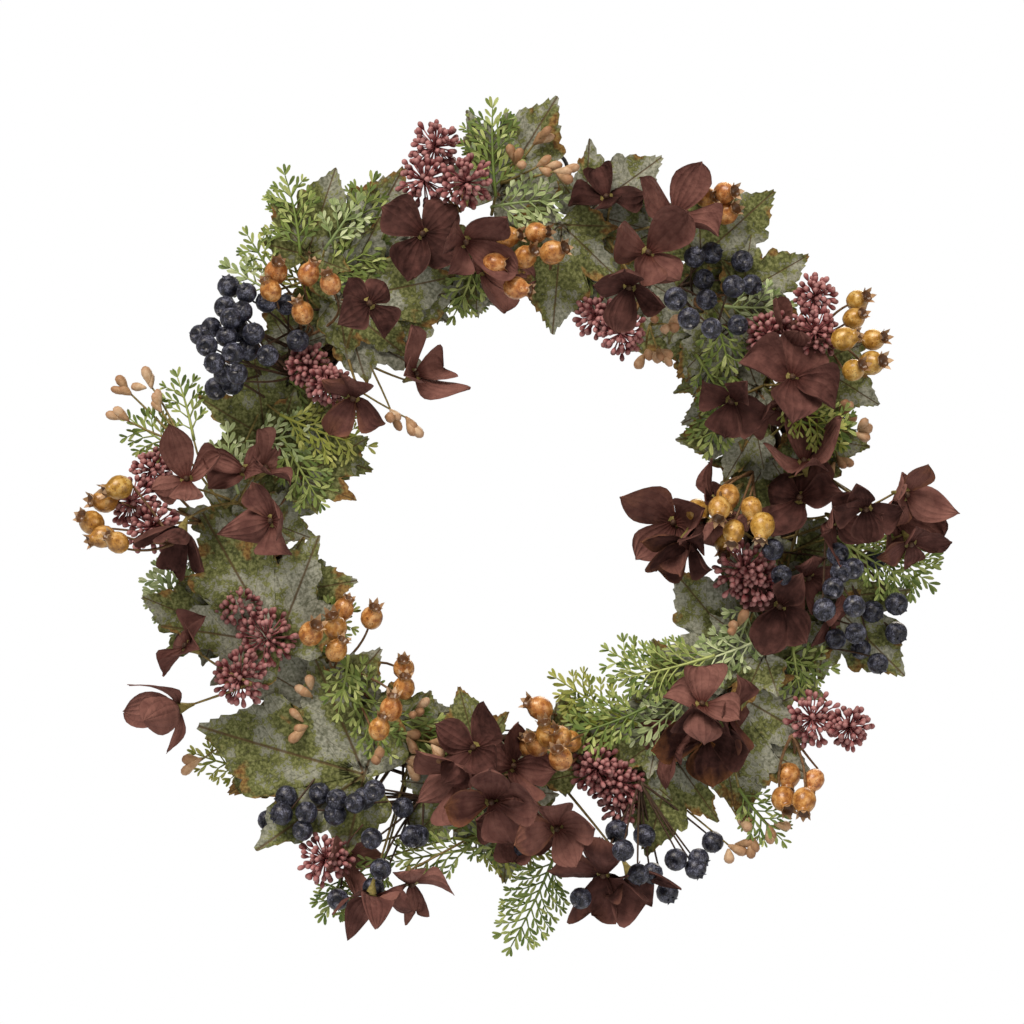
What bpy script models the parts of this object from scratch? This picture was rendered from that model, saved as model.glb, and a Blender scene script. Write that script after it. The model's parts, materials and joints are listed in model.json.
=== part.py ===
"""Harvest door wreath: a grapevine ring dressed with artificial autumn picks.

Metres, +Z up. The wreath faces -Y and hangs by a wire loop; the origin is the point
inside the loop's top that rests on a hook. Places on the wreath are given as a clock
angle in degrees (0 at the top, clockwise seen from the front) and a distance in
millimetres from the ring's middle, as a florist would lay the picks out. Each pick
lies on whatever was put on the ring before it, so no two of them share space.
"""
import math

import bmesh
import bpy
import numpy as np
from mathutils import Matrix, Vector

MM = 0.001

# ---- driving dimensions, in metres ----
RING_RADIUS = 0.152          # from the ring's middle to the line of the vine bundle
LAID_OUT_RADIUS = 0.152      # the ring radius that the places below were chosen for
STRANDS = 4
STRAND_RADIUS = 0.007
BUNDLE_RADIUS = 0.015        # from the bundle's line to the line of each strand
STRAND_TURNS = 5             # times a strand goes round the bundle on its way round the ring
STRAND_POINTS_PER_TURN = 9
WIRE_RADIUS = 0.0012
BINDING_CLOCKS = (257.0,)
HANGER_HALF_WIDTH = 0.008    # half the length of the bracket's crossbar
HANGER_CLOCK = 3.6
HANGER_BACK_ANGLE = 30.0     # how far behind the ring's crown the crossbar lies
LOOP_RADIUS = 0.020
EYE_RADIUS = 0.0032
LEAF_THICKNESS = 0.0012
LEAF_DISH = 0.10             # rise of a leaf's rim, as a share of its length
STALK_OVERLAP = 0.0025       # how far a stem runs into its leaf or frond
FROND_WIDTH_SHARE = 0.38
FROND_THICKNESS = 0.0016
PETAL_THICKNESS = 0.0020
PETAL_CUP = 0.16
BERRY_RADIUS = 0.0065
HIP_RADIUS = 0.0074
HIP_STRETCH = 1.15
BUD_RADIUS = 0.0045
BUD_STRETCH = 1.8
STEM_RADIUS = 0.0011
KNOB_RADIUS = 0.0024
DOME_HEIGHT = 0.030          # how far forward of the bundle's line a pick stands by itself
DOME_REACH = 0.125           # distance from the ring's line where the dome comes down to it

# ---- clearances ----
WIRE_GAP = 0.0006            # between a turned wire and the vine
LAY_GAP = 0.0006             # between a pick and what it lies on
STEM_SAG = 0.0015            # drop allowed where a bend in a stem is left out

# ---- grid that keeps how far forward the wreath reaches ----
CELL = 0.002
GRID_HALF = 0.330
SAMPLE_STEP = 0.0015

# ---- where everything goes: clock degrees, then millimetres from the ring's middle ----
# A leaf: clock and distance of its base, heading of its tip, length.
LEAF_SPRAYS = {
    "maple_top": ((3, 164), [(357, 183, 30, 62), (5, 174, 68, 70), (10, 168, 185, 62)]),
    "maple_top_left": ((329, 160), [(325, 168, 28, 68), (320, 158, 78, 68), (321, 190, 18, 52)]),
    "maple_left": ((262, 148), [(286, 150, 352, 58), (278, 126, 60, 46), (240, 160, 328, 82),
                                (248, 186, 292, 46)]),
    "maple_low_left": ((213, 164), [(207, 173, 276, 100)]),
    "maple_bottom": ((184, 158), [(190, 166, 225, 46), (188, 146, 345, 40), (180, 166, 185, 52),
                                  (166, 160, 350, 48)]),
    "maple_low_right": ((146, 154), [(147, 174, 196, 58), (148, 160, 285, 44)]),
    "maple_right_low": ((118, 160), [(130, 164, 172, 76), (120, 170, 255, 50), (106, 192, 135, 62)]),
    "maple_right_high": ((66, 160), [(64, 195, 122, 46), (64, 160, 245, 48), (76, 176, 100, 38)]),
    "maple_top_right": ((42, 160), [(37, 184, 48, 56), (47, 184, 60, 44), (50, 166, 225, 42)]),
}
# A frond: clock and distance of its base, heading of its tip, length.
FERN_SPRAYS = {
    "fern_top": ((356, 172), [(357, 182, 358, 58), (356, 176, 84, 48)]),
    "fern_top_left": ((320, 178), [(320, 192, 349, 54), (314, 192, 328, 36), (324, 186, 34, 40),
                                   (312, 188, 300, 34)]),
    "fern_left": ((270, 168), [(282, 190, 345, 44), (279, 192, 303, 46), (273, 160, 350, 42),
                               (244, 184, 315, 66)]),
    "fern_low_left": ((214, 160), [(213, 140, 320, 38), (206, 162, 272, 50), (222, 212, 290, 50)]),
    "fern_bottom": ((176, 186), [(178, 200, 290, 46), (173, 204, 205, 66), (205, 236, 203, 32)]),
    "fern_low_right": ((128, 148), [(126, 146, 256, 64), (136, 150, 230, 48), (116, 182, 170, 36),
                                    (141, 210, 140, 46)]),
    "fern_right": ((70, 172), [(71, 176, 150, 34), (46, 170, 90, 44), (46, 164, 165, 44),
                               (91, 192, 128, 72)]),
}
# A head: clock and distance, then its width; the picks of one kind share a builder.
SEDUM_PICKS = {
    "sedum_top": ((350, 176), [(348, 216, 26), (345, 198, 28), (352, 191, 28)]),
    "sedum_right_high": ((60, 182), [(55, 216, 22), (60, 204, 26), (56, 181, 25)]),
    "sedum_inner_top": ((32, 142), [(24, 122, 22), (32, 120, 25)]),
    "sedum_upper_left": ((300, 138), [(305, 146, 22), (304, 129, 22)]),
    "sedum_left": ((267, 180), [(276, 211, 21), (271, 222, 27), (267, 209, 27)]),
    "sedum_low_left": ((234, 174), [(242, 162, 32), (238, 186, 28)]),
    "sedum_low_right": ((128, 196), [(125, 214, 28), (123, 234, 22)]),
}
BUD_PICKS = {
    "bud_sprig_top": ((358, 190), [(4, 216), (1, 203), (5, 201), (8, 198)]),
    "bud_sprig_inner_top": ((37, 134), [(36, 141), (41, 141), (41, 119), (43, 124)]),
    "bud_sprig_right": ((76, 190), [(75, 203), (78, 208), (82, 193)]),
    "bud_sprig_low_left": ((216, 158), [(228, 161), (224, 177), (204, 145), (202, 160), (198, 144)]),
}
# A floret: clock and distance, width, how far it leans and the heading it leans to.
HYDRANGEA_PICKS = {
    "hydrangea_top_left": ((344, 160), [(342, 167, 56, 15, 330), (350, 156, 46, 35, 120)]),
    "hydrangea_upper_left": ((313, 132), [(325, 144, 40, 25, 60), (324, 96, 48, 50, 60),
                                          (305, 112, 42, 50, 200)]),
    "hydrangea_left": ((271, 160), [(278, 157, 38, 45, 300), (275, 190, 46, 30, 0),
                                    (266, 191, 42, 55, 200), (267, 139, 46, 40, 260)]),
    "hydrangea_bottom": ((183, 156), [(189, 141, 50, 30, 320), (184, 170, 54, 15, 200),
                                      (172, 189, 50, 20, 150)]),
    "hydrangea_low_right": ((140, 172), [(140, 176, 58, 20, 200), (136, 158, 46, 35, 20)]),
    "hydrangea_right": ((92, 170), [(88, 168, 52, 25, 300), (92, 188, 46, 40, 120),
                                    (110, 166, 48, 30, 220)]),
    "hydrangea_inner_right": ((84, 136), [(95, 95, 54, 30, 250), (95, 116, 46, 50, 150)]),
    "hydrangea_right_high": ((64, 164), [(65, 179, 56, 25, 30), (64, 142, 44, 30, 220)]),
    "hydrangea_top_right": ((19, 168), [(17, 189, 42, 40, 340), (29, 196, 52, 40, 30),
                                        (28, 167, 50, 15, 60), (28, 144, 44, 35, 200)]),
    "hydrangea_far_right": ((85, 188), [(91, 224, 52, 45, 100), (90, 204, 42, 40, 180)]),
    "hydrangea_hanging": ((178, 176), [(166, 219, 56, 45, 190), (195, 228, 48, 55, 190),
                                       (205, 228, 50, 35, 250)]),
}
HIP_PICKS = {
    "rose_hips_top": ((8, 132), [(359, 158), (5, 161), (3, 146), (356, 141), (9, 150), (1, 127)]),
    "rose_hips_top_left": ((309, 158), [(315, 194), (312, 188), (319, 180), (321, 166), (313, 166)]),
    "rose_hips_inner_right": ((82, 142), [(87, 125), (90, 138), (96, 128), (90, 119), (94, 144)]),
    "rose_hips_bottom": ((162, 142), [(172, 118), (171, 133), (174, 138), (168, 135), (169, 147)]),
    "rose_hips_low_left": ((228, 140), [(239, 115), (236, 124), (231, 131), (232, 104), (238, 137),
                                        (214, 113), (211, 122), (211, 136), (211, 149)]),
}
BLUEBERRY_PICKS = {
    "blueberries_left": ((301, 150), [(308, 209), (305, 203), (306, 193), (301, 203), (304, 180),
                                      (301, 192), (298, 199), (296, 190), (296, 175), (308, 158),
                                      (302, 166), (312, 177)]),
    "blueberries_top_right": ((37, 162), [(38, 189), (43, 197), (47, 191), (40, 174), (43, 166),
                                          (38, 152), (43, 148), (48, 153)]),
    "blueberries_low_left": ((197, 177), [(218, 214), (218, 232), (214, 201), (214, 214), (211, 198),
                                          (208, 194), (206, 182), (200, 186), (203, 208), (200, 223),
                                          (196, 199)]),
    "blueberries_right": ((93, 184), [(98, 190), (101, 193), (104, 190), (108, 188), (106, 204),
                                      (106, 219), (98, 214), (104, 231), (108, 236), (112, 204),
                                      (112, 220)]),
}
# These stand on a wire stem that bends where it leaves the vine; they go on last.
BENDING_HYDRANGEAS = {
    "hydrangea_low_left": ((236, 182), [(248, 207, 46, 50, 300), (238, 229, 50, 45, 260)]),
}
BENDING_HIPS = {
    "rose_hips_right": ((61, 206), [(59, 236), (61, 228), (63, 216), (65, 232), (68, 225), (68, 213)]),
    "rose_hips_left": ((264, 196), [(271, 236), (273, 227), (268, 243), (266, 236), (265, 227)]),
    "rose_hips_low_right": ((129, 210), [(134, 225), (132, 237), (137, 232), (135, 240)]),
}
BENDING_BLUEBERRIES = {
    "blueberries_low_right": ((155, 176), [(149, 228), (152, 232), (155, 226), (158, 206), (161, 224),
                                           (158, 243), (162, 207), (170, 230)]),
}
BENDING_BUDS = {
    "bud_sprig_left": ((281, 196), [(287, 236), (289, 225), (286, 215), (283, 233)]),
}

# ---- colours: sRGB hex, roughness ----
FINISHES = {
    "vine": ("4a3628", 0.90),
    "black_wire": ("1c1c1e", 0.45),
    "maple": ("7d856c", 0.75),
    "fern": ("6f9a4c", 0.55),
    "sedum": ("9a5f6a", 0.55),
    "bud_sprig": ("b08a6a", 0.60),
    "hydrangea": ("6a403f", 0.85),
    "rose_hips": ("c8823f", 0.30),
    "blueberries": ("2b2d3d", 0.50),
}

# A maple leaf's half outline: share of its length along the midrib, share across.
LEAF_HALF = ((0.0, 0.0), (-0.10, 0.20), (-0.02, 0.40), (0.16, 0.24), (0.30, 0.30),
             (0.52, 0.50), (0.50, 0.20), (0.74, 0.22), (1.0, 0.0))
LEAF_HEART = 0.38

FORWARD = Vector((0.0, -1.0, 0.0))


def ring_middle():
    """Middle of the ring, below and in front of the hang point."""
    back = math.radians(HANGER_BACK_ANGLE)
    wire_line = bundle_wire_radius()
    bar_height = hanger_height(wire_line * math.cos(back))
    hang_height = bar_height + EYE_RADIUS + 2.0 * LOOP_RADIUS - WIRE_RADIUS
    return Vector((-hanger_side(), -wire_line * math.sin(back), -hang_height))


def bundle_wire_radius():
    """Distance from the bundle's line to the line of a wire turned round it."""
    return BUNDLE_RADIUS + STRAND_RADIUS + WIRE_GAP + WIRE_RADIUS


def hanger_side():
    """How far right of the ring's middle the hanger stands."""
    return RING_RADIUS * math.sin(math.radians(HANGER_CLOCK))


def hanger_height(rise):
    """Height above the ring's middle of a point that is `rise` above the bundle's line."""
    return RING_RADIUS * math.cos(math.radians(HANGER_CLOCK)) + rise


MIDDLE = ring_middle()


def on_ring(clock, radius, depth=0.0):
    """A point at a clock angle, a radius and a distance in front of the bundle's line."""
    turn = math.radians(clock)
    return MIDDLE + Vector((radius * math.sin(turn), -depth, radius * math.cos(turn)))


def laid_out(clock, millimetres, depth=0.0):
    """A place from the layout, carried along when the ring is made larger or smaller."""
    radius = RING_RADIUS + (millimetres * MM - LAID_OUT_RADIUS)
    return on_ring(clock, radius, depth)


def heading(clock):
    """Unit vector in the wreath's plane that points to a clock angle."""
    turn = math.radians(clock)
    return Vector((math.sin(turn), 0.0, math.cos(turn)))


def depth_of(point):
    """Distance of a point in front of the bundle's line."""
    return MIDDLE.y - point.y


def with_depth(point, depth):
    """The same place on the wreath's face at another depth."""
    return Vector((point.x, MIDDLE.y - depth, point.z))


def dome_depth(point):
    """How far forward a pick stands by itself: most over the ring, less beside it."""
    aside = math.hypot(point.x - MIDDLE.x, point.z - MIDDLE.z) - RING_RADIUS
    return DOME_HEIGHT * (1.0 - (aside / DOME_REACH) ** 2)


def linear(channel):
    """One sRGB channel, 0 to 1, as a linear value."""
    if channel <= 0.04045:
        return channel / 12.92
    return ((channel + 0.055) / 1.055) ** 2.4


def finish_material(name, finish):
    """A Principled material of the node's own colour and roughness."""
    code, roughness = FINISHES[finish]
    colour = [linear(int(code[i:i + 2], 16) / 255.0) for i in (0, 2, 4)]
    material = bpy.data.materials.new(name + "_finish")
    material.use_nodes = True
    shader = material.node_tree.nodes["Principled BSDF"]
    shader.inputs["Base Color"].default_value = (*colour, 1.0)
    shader.inputs["Roughness"].default_value = roughness
    shader.inputs["Metallic"].default_value = 0.0
    return material


class Pile:
    """How far forward the wreath already reaches, on a grid over its face."""

    def __init__(self):
        side = int(round(2.0 * GRID_HALF / CELL))
        self.front = np.full((side, side), -1.0)
        self.near = self.front
        self.wide = self.front

    def cells(self, points):
        """Row and column of each point."""
        rows = ((points[:, 0] - MIDDLE.x + GRID_HALF) / CELL).astype(int)
        columns = ((points[:, 2] - MIDDLE.z + GRID_HALF) / CELL).astype(int)
        return rows, columns

    def add(self, body):
        """Put a finished body's surface on the grid."""
        self.add_head(surface_samples(body.data, body.matrix_world))
        self.wide = spread(self.near)

    def add_head(self, points):
        """Keep a pick's next heads off this one, while its own stems may still reach it."""
        rows, columns = self.cells(points)
        np.maximum.at(self.front, (rows, columns), MIDDLE.y - points[:, 1])
        self.near = spread(self.front)

    def lift(self, points):
        """How far a shape given by surface points must come forward to lie clear."""
        rows, columns = self.cells(points)
        shortfall = self.near[rows, columns] - (MIDDLE.y - points[:, 1])
        return max(0.0, float(shortfall.max()) + LAY_GAP)

    def needed(self, point, radius):
        """Least depth at a place for a stem of this radius."""
        row, column = self.cells(np.array([point[:]]))
        return float(self.wide[row[0], column[0]]) + LAY_GAP + STEM_SAG + radius


def spread(grid):
    """Each cell takes the largest value of itself and its eight neighbours."""
    padded = np.pad(grid, 1, mode="edge")
    rows, columns = grid.shape
    result = grid.copy()
    for i in range(3):
        for j in range(3):
            result = np.maximum(result, padded[i:i + rows, j:j + columns])
    return result


def surface_samples(mesh, matrix):
    """Points all over a mesh, closer together than the grid's cells."""
    mesh.calc_loop_triangles()
    points = []
    for triangle in mesh.loop_triangles:
        a, b, c = [matrix @ mesh.vertices[i].co for i in triangle.vertices]
        longest = max((b - a).length, (c - a).length, (c - b).length)
        steps = max(1, math.ceil(longest / SAMPLE_STEP))
        for i in range(steps + 1):
            for j in range(steps + 1 - i):
                points.append(a + (b - a) * (i / steps) + (c - a) * (j / steps))
    return np.array([point[:] for point in points])


def new_object(name, vertices, faces):
    """A mesh object with its faces turned outward."""
    mesh = bpy.data.meshes.new(name)
    mesh.from_pydata([tuple(vertex) for vertex in vertices], [], faces)
    shape = bmesh.new()
    shape.from_mesh(mesh)
    bmesh.ops.recalc_face_normals(shape, faces=shape.faces)
    bmesh.ops.triangulate(shape, faces=shape.faces)
    shape.to_mesh(mesh)
    shape.free()
    body = bpy.data.objects.new(name, mesh)
    bpy.context.scene.collection.objects.link(body)
    return body


def tube(points, radius, sides=3, closed=False):
    """Vertices and faces of a round bar along a line of points."""
    vertices = []
    count = len(points)
    across = None
    for i, point in enumerate(points):
        before = points[i - 1] if (i > 0 or closed) else point
        after = points[(i + 1) % count] if (i < count - 1 or closed) else point
        along = (after - before).normalized()
        if across is None:
            across = along.orthogonal().normalized()
        across = (across - along * across.dot(along)).normalized()
        other = along.cross(across)
        for k in range(sides):
            turn = 2.0 * math.pi * k / sides
            vertices.append(point + (across * math.cos(turn) + other * math.sin(turn)) * radius)
    faces = []
    for i in range(count if closed else count - 1):
        for k in range(sides):
            here = i * sides
            there = ((i + 1) % count) * sides
            faces.append((here + k, here + (k + 1) % sides, there + (k + 1) % sides, there + k))
    if not closed:
        faces.append(tuple(range(sides)))
        faces.append(tuple((count - 1) * sides + k for k in range(sides)))
    return vertices, faces


def wire_ring(middle, first, second, ring_radius, wire_radius, points, sides=4):
    """A closed ring of wire in the plane of two directions."""
    vertices = []
    normal = first.cross(second)
    for i in range(points):
        turn = 2.0 * math.pi * i / points
        outward = first * math.cos(turn) + second * math.sin(turn)
        for k in range(sides):
            around = 2.0 * math.pi * (k + 0.5) / sides
            aside = outward * math.cos(around) + normal * math.sin(around)
            vertices.append(middle + outward * ring_radius + aside * wire_radius)
    faces = []
    for i in range(points):
        for k in range(sides):
            here = i * sides
            there = ((i + 1) % points) * sides
            faces.append((here + k, here + (k + 1) % sides, there + (k + 1) % sides, there + k))
    return vertices, faces


def ball(radius, stretch=1.0, segments=6, rings=3):
    """A ball about the origin, drawn out along its local Z."""
    vertices = [Vector((0.0, 0.0, -radius * stretch))]
    for j in range(1, rings):
        rise = math.pi * j / rings - math.pi / 2.0
        for k in range(segments):
            turn = 2.0 * math.pi * k / segments
            level = radius * math.cos(rise)
            vertices.append(Vector((level * math.cos(turn), level * math.sin(turn),
                                    radius * stretch * math.sin(rise))))
    vertices.append(Vector((0.0, 0.0, radius * stretch)))
    top = len(vertices) - 1
    faces = [(0, 1 + (k + 1) % segments, 1 + k) for k in range(segments)]
    for j in range(rings - 2):
        for k in range(segments):
            here = 1 + j * segments
            there = here + segments
            faces.append((here + k, here + (k + 1) % segments, there + (k + 1) % segments, there + k))
    last = 1 + (rings - 2) * segments
    faces += [(top, last + k, last + (k + 1) % segments) for k in range(segments)]
    return vertices, faces


def plate(outline, heart, thickness):
    """A thin plate: a fan over the outline in front, the same behind, and a rim."""
    half = Vector((0.0, 0.0, thickness / 2.0))
    count = len(outline)
    vertices = [point + half for point in outline] + [point - half for point in outline]
    vertices += [heart + half, heart - half]
    front, back = 2 * count, 2 * count + 1
    faces = []
    for i in range(count):
        j = (i + 1) % count
        faces.append((front, i, j))
        faces.append((back, count + j, count + i))
        faces.append((i, count + i, count + j, j))
    return vertices, faces


def leaf_plate(length):
    """A five-lobed leaf along local X with its rim a little raised."""
    half = [Vector((x * length, y * length, 0.0)) for x, y in LEAF_HALF]
    mirrored = [Vector((point.x, -point.y, 0.0)) for point in reversed(half[1:-1])]
    outline = half + mirrored
    heart = Vector((LEAF_HEART * length, 0.0, 0.0))
    for point in outline:
        point.z = LEAF_DISH * length * ((point - heart).length / length) ** 2
    return plate(outline, heart, LEAF_THICKNESS)


def frond_plate(length):
    """A fern frond as a spear-shaped blade along local X."""
    width = FROND_WIDTH_SHARE * length
    shares = ((0.0, 0.06), (0.25, 0.5), (0.6, 0.38), (1.0, 0.03))
    half = [Vector((x * length, y * width, 0.0)) for x, y in shares]
    outline = half + [Vector((point.x, -point.y, 0.0)) for point in reversed(half)]
    return plate(outline, Vector((0.4 * length, 0.0, 0.0015)), FROND_THICKNESS)


def floret_plate(width):
    """Four rounded petals in one cupped plate about local Z."""
    outline = []
    for i in range(12):
        turn = 2.0 * math.pi * i / 12.0
        reach = width / 2.0 * (0.70 + 0.30 * math.cos(4.0 * turn))
        outline.append(Vector((reach * math.cos(turn), reach * math.sin(turn), PETAL_CUP * reach)))
    return plate(outline, Vector(), PETAL_THICKNESS)


def facing_matrix(place, facing, along):
    """Local Z to the facing direction and local X as near as it goes to `along`."""
    z_axis = facing.normalized()
    x_axis = (along - z_axis * along.dot(z_axis)).normalized()
    y_axis = z_axis.cross(x_axis)
    turn = Matrix((x_axis, y_axis, z_axis)).transposed().to_4x4()
    return Matrix.Translation(place) @ turn


def moved(shape, matrix):
    """A shape's vertices carried by a matrix."""
    vertices, faces = shape
    return [matrix @ vertex for vertex in vertices], faces


def shape_samples(shape):
    """Surface points of a loose shape."""
    body = new_object("sample", *shape)
    points = surface_samples(body.data, Matrix.Identity(4))
    mesh = body.data
    bpy.data.objects.remove(body)
    bpy.data.meshes.remove(mesh)
    return points


def settled(shape, pile):
    """A shape brought forward until it lies clear, and how far it came."""
    lift = pile.lift(shape_samples(shape))
    return moved(shape, Matrix.Translation(FORWARD * lift)), lift


def stem_line(start, end, radius, pile):
    """A stem's points: taut over whatever lies between its two ends."""
    flat = Vector((end.x - start.x, 0.0, end.z - start.z))
    run = flat.length
    steps = max(2, math.ceil(run / CELL))
    hull = [(0.0, depth_of(start))]
    for i in range(1, steps + 1):
        share = i / steps
        place = start + (end - start) * share
        depth = depth_of(end) if i == steps else pile.needed(place, radius)
        while len(hull) > 1 and rises(hull[-2], hull[-1], (share * run, depth)):
            hull.pop()
        hull.append((share * run, depth))
    while len(hull) > 2:
        sags = [sag(*hull[i - 1:i + 2]) for i in range(1, len(hull) - 1)]
        if min(sags) > STEM_SAG:
            break
        hull.pop(1 + sags.index(min(sags)))
    return [with_depth(start + (end - start) * (along / run), depth) for along, depth in hull]


def sag(first, middle, last):
    """How far a stem would drop at the middle point if it ran straight past it."""
    share = (middle[0] - first[0]) / (last[0] - first[0])
    return middle[1] - (first[1] + (last[1] - first[1]) * share)


def rises(first, middle, last):
    """True when the middle point is not above the line from first to last."""
    slope = (last[1] - first[1]) / (last[0] - first[0])
    return middle[1] <= first[1] + slope * (middle[0] - first[0])


def fused(name, shapes, finish, origin):
    """One closed body made of overlapping shapes, with its origin where it is fixed."""
    local = Matrix.Translation(-origin)
    parts = [new_object(name + "_piece", *moved(shape, local)) for shape in shapes]
    first = parts[0]
    first.name = name
    if len(parts) > 1:
        for part in parts[1:]:
            union = first.modifiers.new("join", "BOOLEAN")
            union.operation = "UNION"
            union.object = part
            union.solver = "EXACT"
        bpy.context.view_layer.update()
        graph = bpy.context.evaluated_depsgraph_get()
        joined = bpy.data.meshes.new_from_object(first.evaluated_get(graph))
        first.modifiers.clear()
        first.data = joined
        for part in parts[1:]:
            bpy.data.objects.remove(part)
        drop_slivers(joined)
    first.data.name = name
    first.data.materials.clear()
    first.data.materials.append(finish_material(name, finish))
    first.location = origin
    bpy.context.view_layer.update()
    return first


def drop_slivers(mesh):
    """Take out the specks that a union can leave where stems cross inside a head."""
    shape = bmesh.new()
    shape.from_mesh(mesh)
    waiting = set(shape.verts)
    islands = []
    while waiting:
        island = {waiting.pop()}
        edge = list(island)
        while edge:
            for link in edge.pop().link_edges:
                for vertex in link.verts:
                    if vertex in waiting:
                        waiting.remove(vertex)
                        island.add(vertex)
                        edge.append(vertex)
        islands.append(island)
    largest = max(islands, key=len)
    specks = [vertex for island in islands if len(island) * 5 < len(largest) for vertex in island]
    bmesh.ops.delete(shape, geom=specks, context="VERTS")
    shape.to_mesh(mesh)
    shape.free()


def pick_hub(place, pile):
    """The foot of a pick's stem, lying on what is under it."""
    spot = laid_out(*place)
    depth = max(dome_depth(spot) * 0.6, pile.needed(spot, KNOB_RADIUS))
    return with_depth(spot, depth)


def pick(name, place, heads, builder, finish, pile):
    """One pick: a foot, a stem to every head, and the heads, as one body."""
    hub = pick_hub(place, pile)
    shapes = [moved(ball(KNOB_RADIUS, 1.0, 4, 2), Matrix.Translation(hub))]
    joins = []
    for head in heads:
        head_shapes, join = builder(head, hub, pile)
        shapes += head_shapes
        joins.append(join)
        pile.add_head(shape_samples(head_shapes[0]))
    for start, end in stem_pairs(hub, joins):
        shapes.append(tube(stem_line(start, end, STEM_RADIUS, pile), STEM_RADIUS))
    body = fused(name, shapes, finish, hub)
    pile.add(body)
    return body


def stem_pairs(hub, joins):
    """Each head's stem leaves from the nearest place that the pick has already reached."""
    reached = [hub]
    waiting = list(joins)
    pairs = []
    while waiting:
        choices = [(start, end) for start in reached for end in waiting]
        start, end = min(choices, key=lambda pair: (pair[1] - pair[0]).length)
        waiting.remove(end)
        reached.append(end)
        pairs.append((start, end))
    return pairs


def leaf_head(leaf, hub, pile):
    """A leaf that leans back to its tip, and the place where its stalk joins."""
    clock, distance, tip_heading, length_mm = leaf
    base = laid_out(clock, distance)
    along = heading(tip_heading)
    length = length_mm * MM
    base = with_depth(base, dome_depth(base) * 0.85)
    tip = base + along * length
    tip = with_depth(tip, dome_depth(tip) * 0.85)
    matrix = facing_matrix(base, FORWARD, tip - base)
    matrix = facing_matrix(base, (FORWARD - matrix.col[0].xyz * FORWARD.dot(tip - base)), tip - base)
    shape, lift = settled(moved(leaf_plate(length), matrix), pile)
    stalk_end = matrix @ Vector((STALK_OVERLAP, 0.0, LEAF_DISH * length * LEAF_HEART ** 2))
    return [shape], stalk_end + FORWARD * lift


def frond_head(frond, hub, pile):
    """A frond laid like a leaf."""
    clock, distance, tip_heading, length_mm = frond
    base = laid_out(clock, distance)
    along = heading(tip_heading)
    length = length_mm * MM
    base = with_depth(base, dome_depth(base))
    tip = base + along * length
    tip = with_depth(tip, dome_depth(tip))
    matrix = facing_matrix(base, FORWARD, tip - base)
    shape, lift = settled(moved(frond_plate(length), matrix), pile)
    return [shape], matrix @ Vector((STALK_OVERLAP, 0.0, 0.0)) + FORWARD * lift


def ball_head(radius, stretch):
    """A builder of round heads that point away from their stem."""
    def build(head, hub, pile):
        spot = laid_out(head[0], head[1])
        spot = with_depth(spot, dome_depth(spot) + radius)
        away = Vector((spot.x - hub.x, -0.35 * (spot - hub).length, spot.z - hub.z))
        matrix = facing_matrix(spot, away, Vector((0.13, 0.21, 0.97)))
        shape, lift = settled(moved(ball(radius, stretch), matrix), pile)
        return [shape], spot + FORWARD * lift
    return build


def sedum_head(head, hub, pile):
    """An umbel of buds as one low dome."""
    clock, distance, width = head
    spot = laid_out(clock, distance)
    radius = width * MM / 2.0
    spot = with_depth(spot, dome_depth(spot) + radius * 0.5)
    matrix = facing_matrix(spot, FORWARD, Vector((0.0, 0.0, 1.0)))
    shape, lift = settled(moved(ball(radius, 0.55, 7, 3), matrix), pile)
    return [shape], spot + FORWARD * lift


def floret_head(head, hub, pile):
    """A floret that leans to one side."""
    clock, distance, width_mm, lean, lean_heading = head
    width = width_mm * MM
    spot = laid_out(clock, distance)
    tilt = math.radians(lean)
    facing = FORWARD * math.cos(tilt) + heading(lean_heading) * math.sin(tilt)
    spot = with_depth(spot, dome_depth(spot) + width * 0.5 * math.sin(tilt))
    matrix = facing_matrix(spot, facing, heading(lean_heading + lean + 45.0))
    shape, lift = settled(moved(floret_plate(width), matrix), pile)
    return [shape], spot + FORWARD * lift


def vine_strand(index, pile):
    """One closed strand that winds round the bundle's line."""
    count = STRAND_POINTS_PER_TURN * STRAND_TURNS
    points = []
    for i in range(count):
        clock = 360.0 * i / count
        wind = math.radians(STRAND_TURNS * clock + 360.0 * index / STRANDS)
        radius = RING_RADIUS + BUNDLE_RADIUS * math.cos(wind)
        points.append(on_ring(clock, radius, BUNDLE_RADIUS * math.sin(wind)))
    name = "vine_strand_%d" % (index + 1)
    body = fused(name, [tube(points, STRAND_RADIUS, 5, closed=True)], "vine", MIDDLE)
    pile.add(body)


def binding_wire(index, clock, pile):
    """A wire turned once round the bundle to hold the strands together."""
    middle = on_ring(clock, RING_RADIUS)
    shape = wire_ring(middle, heading(clock), FORWARD, bundle_wire_radius(), WIRE_RADIUS, 14)
    body = fused("binding_wire_%d" % index, [shape], "black_wire", middle)
    pile.add(body)


def crossbar_middle():
    """Middle of the bracket's crossbar, right above and behind the bundle."""
    back = math.radians(HANGER_BACK_ANGLE)
    wire_line = bundle_wire_radius()
    return MIDDLE + Vector((hanger_side(), wire_line * math.sin(back),
                            hanger_height(wire_line * math.cos(back))))


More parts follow.
